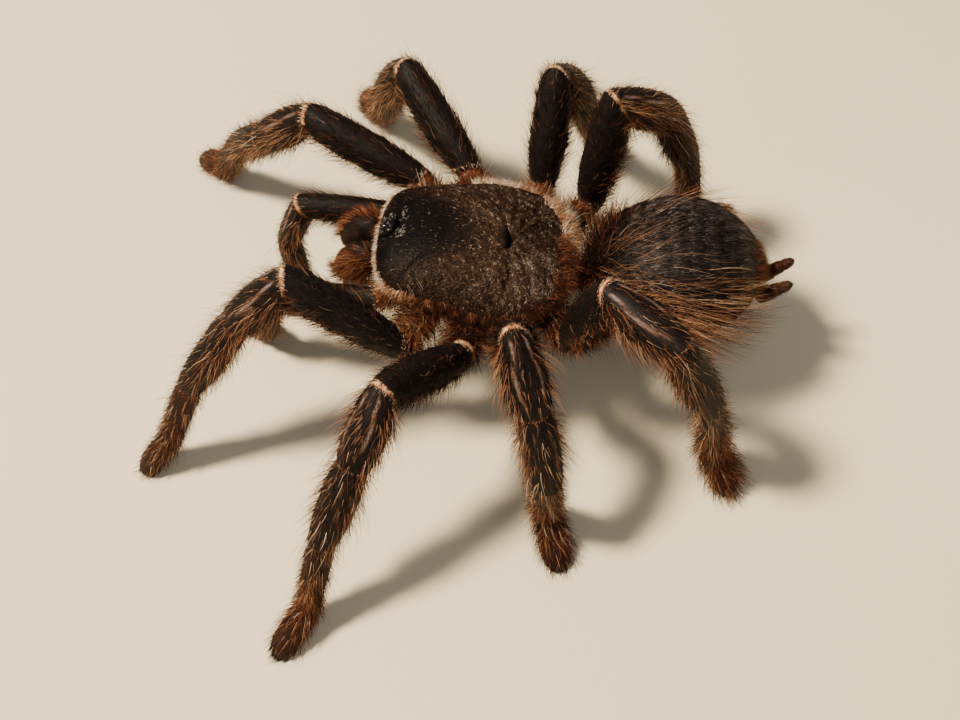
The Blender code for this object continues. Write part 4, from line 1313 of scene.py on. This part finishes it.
def coat_abdomen():
    rng = np.random.default_rng(53)
    coat = new_coat()
    grid = abdomen["grid"]
    share = abdomen["share"][:, None] * np.ones((1, grid.shape[1]))
    top = height_of_sides(grid.shape[1])[None, :] * np.ones((len(grid), 1))
    count = VELVET
    roots = scatter(abdomen, count, rng)
    where = share[roots["row"], roots["column"]]
    above = top[roots["row"], roots["column"]]
    tone = 0.5 + rng.normal(0, 0.16, count) + 0.07 * waves(roots["root"], 3.0, 11)
    # Blotches half a millimetre across, and darker over the front by the waist: painted shadow
    # there.
    tone += 0.14 * waves(roots["root"], 0.5, 12) - 0.5 * np.exp(-((where - 0.13) / 0.17) ** 2)
    # Lighter over the back, darker down the flanks and underneath: painted shade below the lit
    # back.
    tone -= 0.3 * np.clip(0.8 - above, 0, 1)
    length = 1.3 + 0.7 * rng.random(count)
    grow(coat, roots, rng, length, 0.12, 12 + 14 * rng.random(count), tone, 11, 0.4, bends=1)
    finish_coat("coat_abdomen_velvet", coat, ABDOMEN_SETAE)

    # Long bristles: few on the back, thick on the flanks, none near the spinnerets.
    coat = new_coat()
    flank = np.clip((0.86 - top) / 0.5, 0, 1) ** 1.3
    weight = (0.03 + flank) * np.clip((0.8 - share) / 0.1, 0, 1) * (top > -0.75)
    right = grid[:, :, 0] < grid[:, :, 0].mean(1, keepdims=True)
    count = SWEPT_BRISTLES
    roots = scatter(abdomen, count, rng, weight * np.where(right, 0.55, 1.0))
    low = np.clip(0.6 - top[roots["row"], roots["column"]], 0, 1)
    picked = rng.random(count)
    tone = np.where(picked < 0.12, 0.82, np.where(picked < 0.52, 0.66, 0.14))
    tone = tone + rng.normal(0, 0.06, count)
    length = 6.0 + 5.0 * rng.random(count) + 3.0 * low
    lift = 12 + 16 * rng.random(count) + 16 * low
    hang = -UP * (0.45 * low)[:, None]
    grow(coat, roots, rng, length, 0.054, lift, tone, 7, 0.5, wave=0.1, bends=5, target=hang)
    # A few long wavy ones that start behind the waist and run along the back.
    weight = np.exp(-((share - 0.2) / 0.1) ** 2) * (top > 0.5) * ~right
    roots = scatter(abdomen, WAVY_BRISTLES, rng, weight + 1e-9)
    length = 8 + 6 * rng.random(WAVY_BRISTLES)
    grow(coat, roots, rng, length, 0.055, 12, 0.66, 9, 0.6, wave=0.3, bends=6)
    # Short rusty hair round the spinnerets.
    count = REAR_HAIRS
    roots = scatter(abdomen, count, rng, np.clip((share - 0.84) / 0.1, 0, 1))
    tone = 0.46 + rng.normal(0, 0.1, count)
    length = 1.8 + 2.0 * rng.random(count)
    grow(coat, roots, rng, length, 0.085, 24 + 30 * rng.random(count), tone, 18, 0.4, wave=0.06)
    # The upright fan at the front, dark as its own hair and as painted shadow over the shaded
    # front, with rusty and pale hair through it.
    weight = np.exp(-((share - 0.13) / 0.1) ** 2) * (top > -0.5)
    count = FAN_HAIRS
    roots = scatter(abdomen, count, rng, weight)
    picked = rng.random(count) + 0.12 * right[roots["row"], roots["column"]]
    tone = np.where(picked < 0.8, 0.05, np.where(picked < 1.08, 0.44, 0.7))
    tone = tone + rng.normal(0, 0.07, count)
    length = 2.6 + 3.6 * rng.random(count)
    grow(coat, roots, rng, length, 0.085, 34 + 46 * rng.random(count), tone, 24, 0.5, wave=0.06)
    finish_coat("coat_abdomen_bristles", coat, SETAE)


coat_abdomen()

# ---------------------------------------------------------------------------------------
# The coat of breastplate, waist and spinnerets: short bristles of chitin like those of the
# legs, which stand out all round the waist and ring each spinneret with darker bands.

BREAST_HAIRS, WAIST_HAIRS, SPINNERET_HAIRS = 2200, 1500, 900


def coat_underside():
    rng = np.random.default_rng(67)
    coat = new_coat()
    roots = scatter(breastplate, BREAST_HAIRS, rng)
    roots["normal"] = unit(roots["root"] - trunk_point(0, 0.6, -9.0))
    tone = 0.3 + rng.normal(0, 0.07, BREAST_HAIRS)
    length = 1.3 + 0.6 * rng.random(BREAST_HAIRS)
    grow(coat, roots, rng, length, 0.14, 25, tone, 30, 0.4, chart=(0.0, 0.0, 0.6, 1.0))
    roots = scatter(pedicel, WAIST_HAIRS, rng)
    tone = 0.42 + rng.normal(0, 0.12, WAIST_HAIRS)
    length = 2.2 + 2.6 * rng.random(WAIST_HAIRS)
    lift = 40 + 40 * rng.random(WAIST_HAIRS)
    grow(coat, roots, rng, length, 0.1, lift, tone, 40, 0.4, wave=0.06, chart=(0.6, 0.0, 0.8, 1.0))
    for number, part in enumerate(spinnerets.values()):
        roots = scatter(part, SPINNERET_HAIRS, rng)
        band = np.cos(2 * math.pi * (part["share"][roots["row"]] - 0.33) / 0.31)
        tone = 0.3 - 0.14 * band + rng.normal(0, 0.08, SPINNERET_HAIRS)
        chart = (0.8 + 0.1 * number, 0.0, 0.9 + 0.1 * number, 1.0)
        length = 0.5 + 0.4 * rng.random(SPINNERET_HAIRS)
        grow(coat, roots, rng, length, 0.08, 30, tone, 14, 0.4, chart=chart)
    finish_coat("coat_underside", coat, SETAE)


coat_underside()

# ---------------------------------------------------------------------------------------
# The stage: a plain pale floor, a soft key light high before the head, a wide fill over the
# left flank, and the camera, held over that flank too.

bpy.ops.mesh.primitive_plane_add(size=6.0, location=(0, 0, 0))
floor = bpy.context.object
floor.name = "floor"
# Matt board in a pale sand tint, with the faintest clouds in its paper.
paper = new_material("pale_board")
clouds = add_node(paper, "ShaderNodeTexNoise", Scale=40.0, Detail=3.0)
tint = add_node(
    paper, "ShaderNodeValToRGB", {"Fac": clouds}, ((0.3, "#d8c8a8"), (0.7, "#dccdae")),
)
finish_material(paper, {"Base Color": tint}, Roughness=0.9, Specular_IOR_Level=0.2)
floor.data.materials.append(paper)

CAMERA_TARGET = np.array((11.7, -0.4, 15.0)) + ORIGIN
CAMERA_AZIMUTH, CAMERA_ELEVATION, CAMERA_ROLL = 104.0, 58.0, -8.4
CAMERA_DISTANCE = 249.0
CAMERA_LENS, CAMERA_SENSOR = 50.475, 36.0


def place_camera():
    back = Vector(direction(CAMERA_AZIMUTH - 90, CAMERA_ELEVATION))
    right = (-back).cross(Vector((0, 0, 1))).normalized()
    up = right.cross(-back)
    roll = math.radians(CAMERA_ROLL)
    across = right * math.cos(roll) + up * math.sin(roll)
    upward = -right * math.sin(roll) + up * math.cos(roll)
    data = bpy.data.cameras.new("camera")
    data.sensor_width = CAMERA_SENSOR
    data.lens = CAMERA_LENS
    data.clip_start, data.clip_end = 0.01, 10.0
    camera = bpy.data.objects.new("camera", data)
    bpy.context.scene.collection.objects.link(camera)
    rotation = Matrix((across, upward, back)).transposed().to_4x4()
    target = Vector(CAMERA_TARGET * MM)
    camera.matrix_world = Matrix.Translation(target + back * CAMERA_DISTANCE * MM) @ rotation
    bpy.context.scene.camera = camera


place_camera()


def add_light(name, heading, pitch, distance, size, power, code):
    """A square soft box that shines on the animal from a bearing and a height."""
    way = Vector(direction(heading, pitch))
    data = bpy.data.lights.new(name, "AREA")
    data.shape = "SQUARE"
    data.size = size
    data.energy = power
    data.color = colour(code)[:3]
    light = bpy.data.objects.new(name, data)
    light.location = way * distance
    light.rotation_euler = (-way).to_track_quat("-Z", "Y").to_euler()
    bpy.context.scene.collection.objects.link(light)


add_light("key", -72, 64, 0.9, 0.12, 23.0, "#fff2dc")
add_light("fill", 40, 50, 1.0, 0.9, 2.4, "#f6f4ff")
world = bpy.data.worlds.new("studio")
world.use_nodes = True
world.node_tree.nodes["Background"].inputs["Color"].default_value = colour("#e8e8ec")
world.node_tree.nodes["Background"].inputs["Strength"].default_value = 0.33
bpy.context.scene.world = world
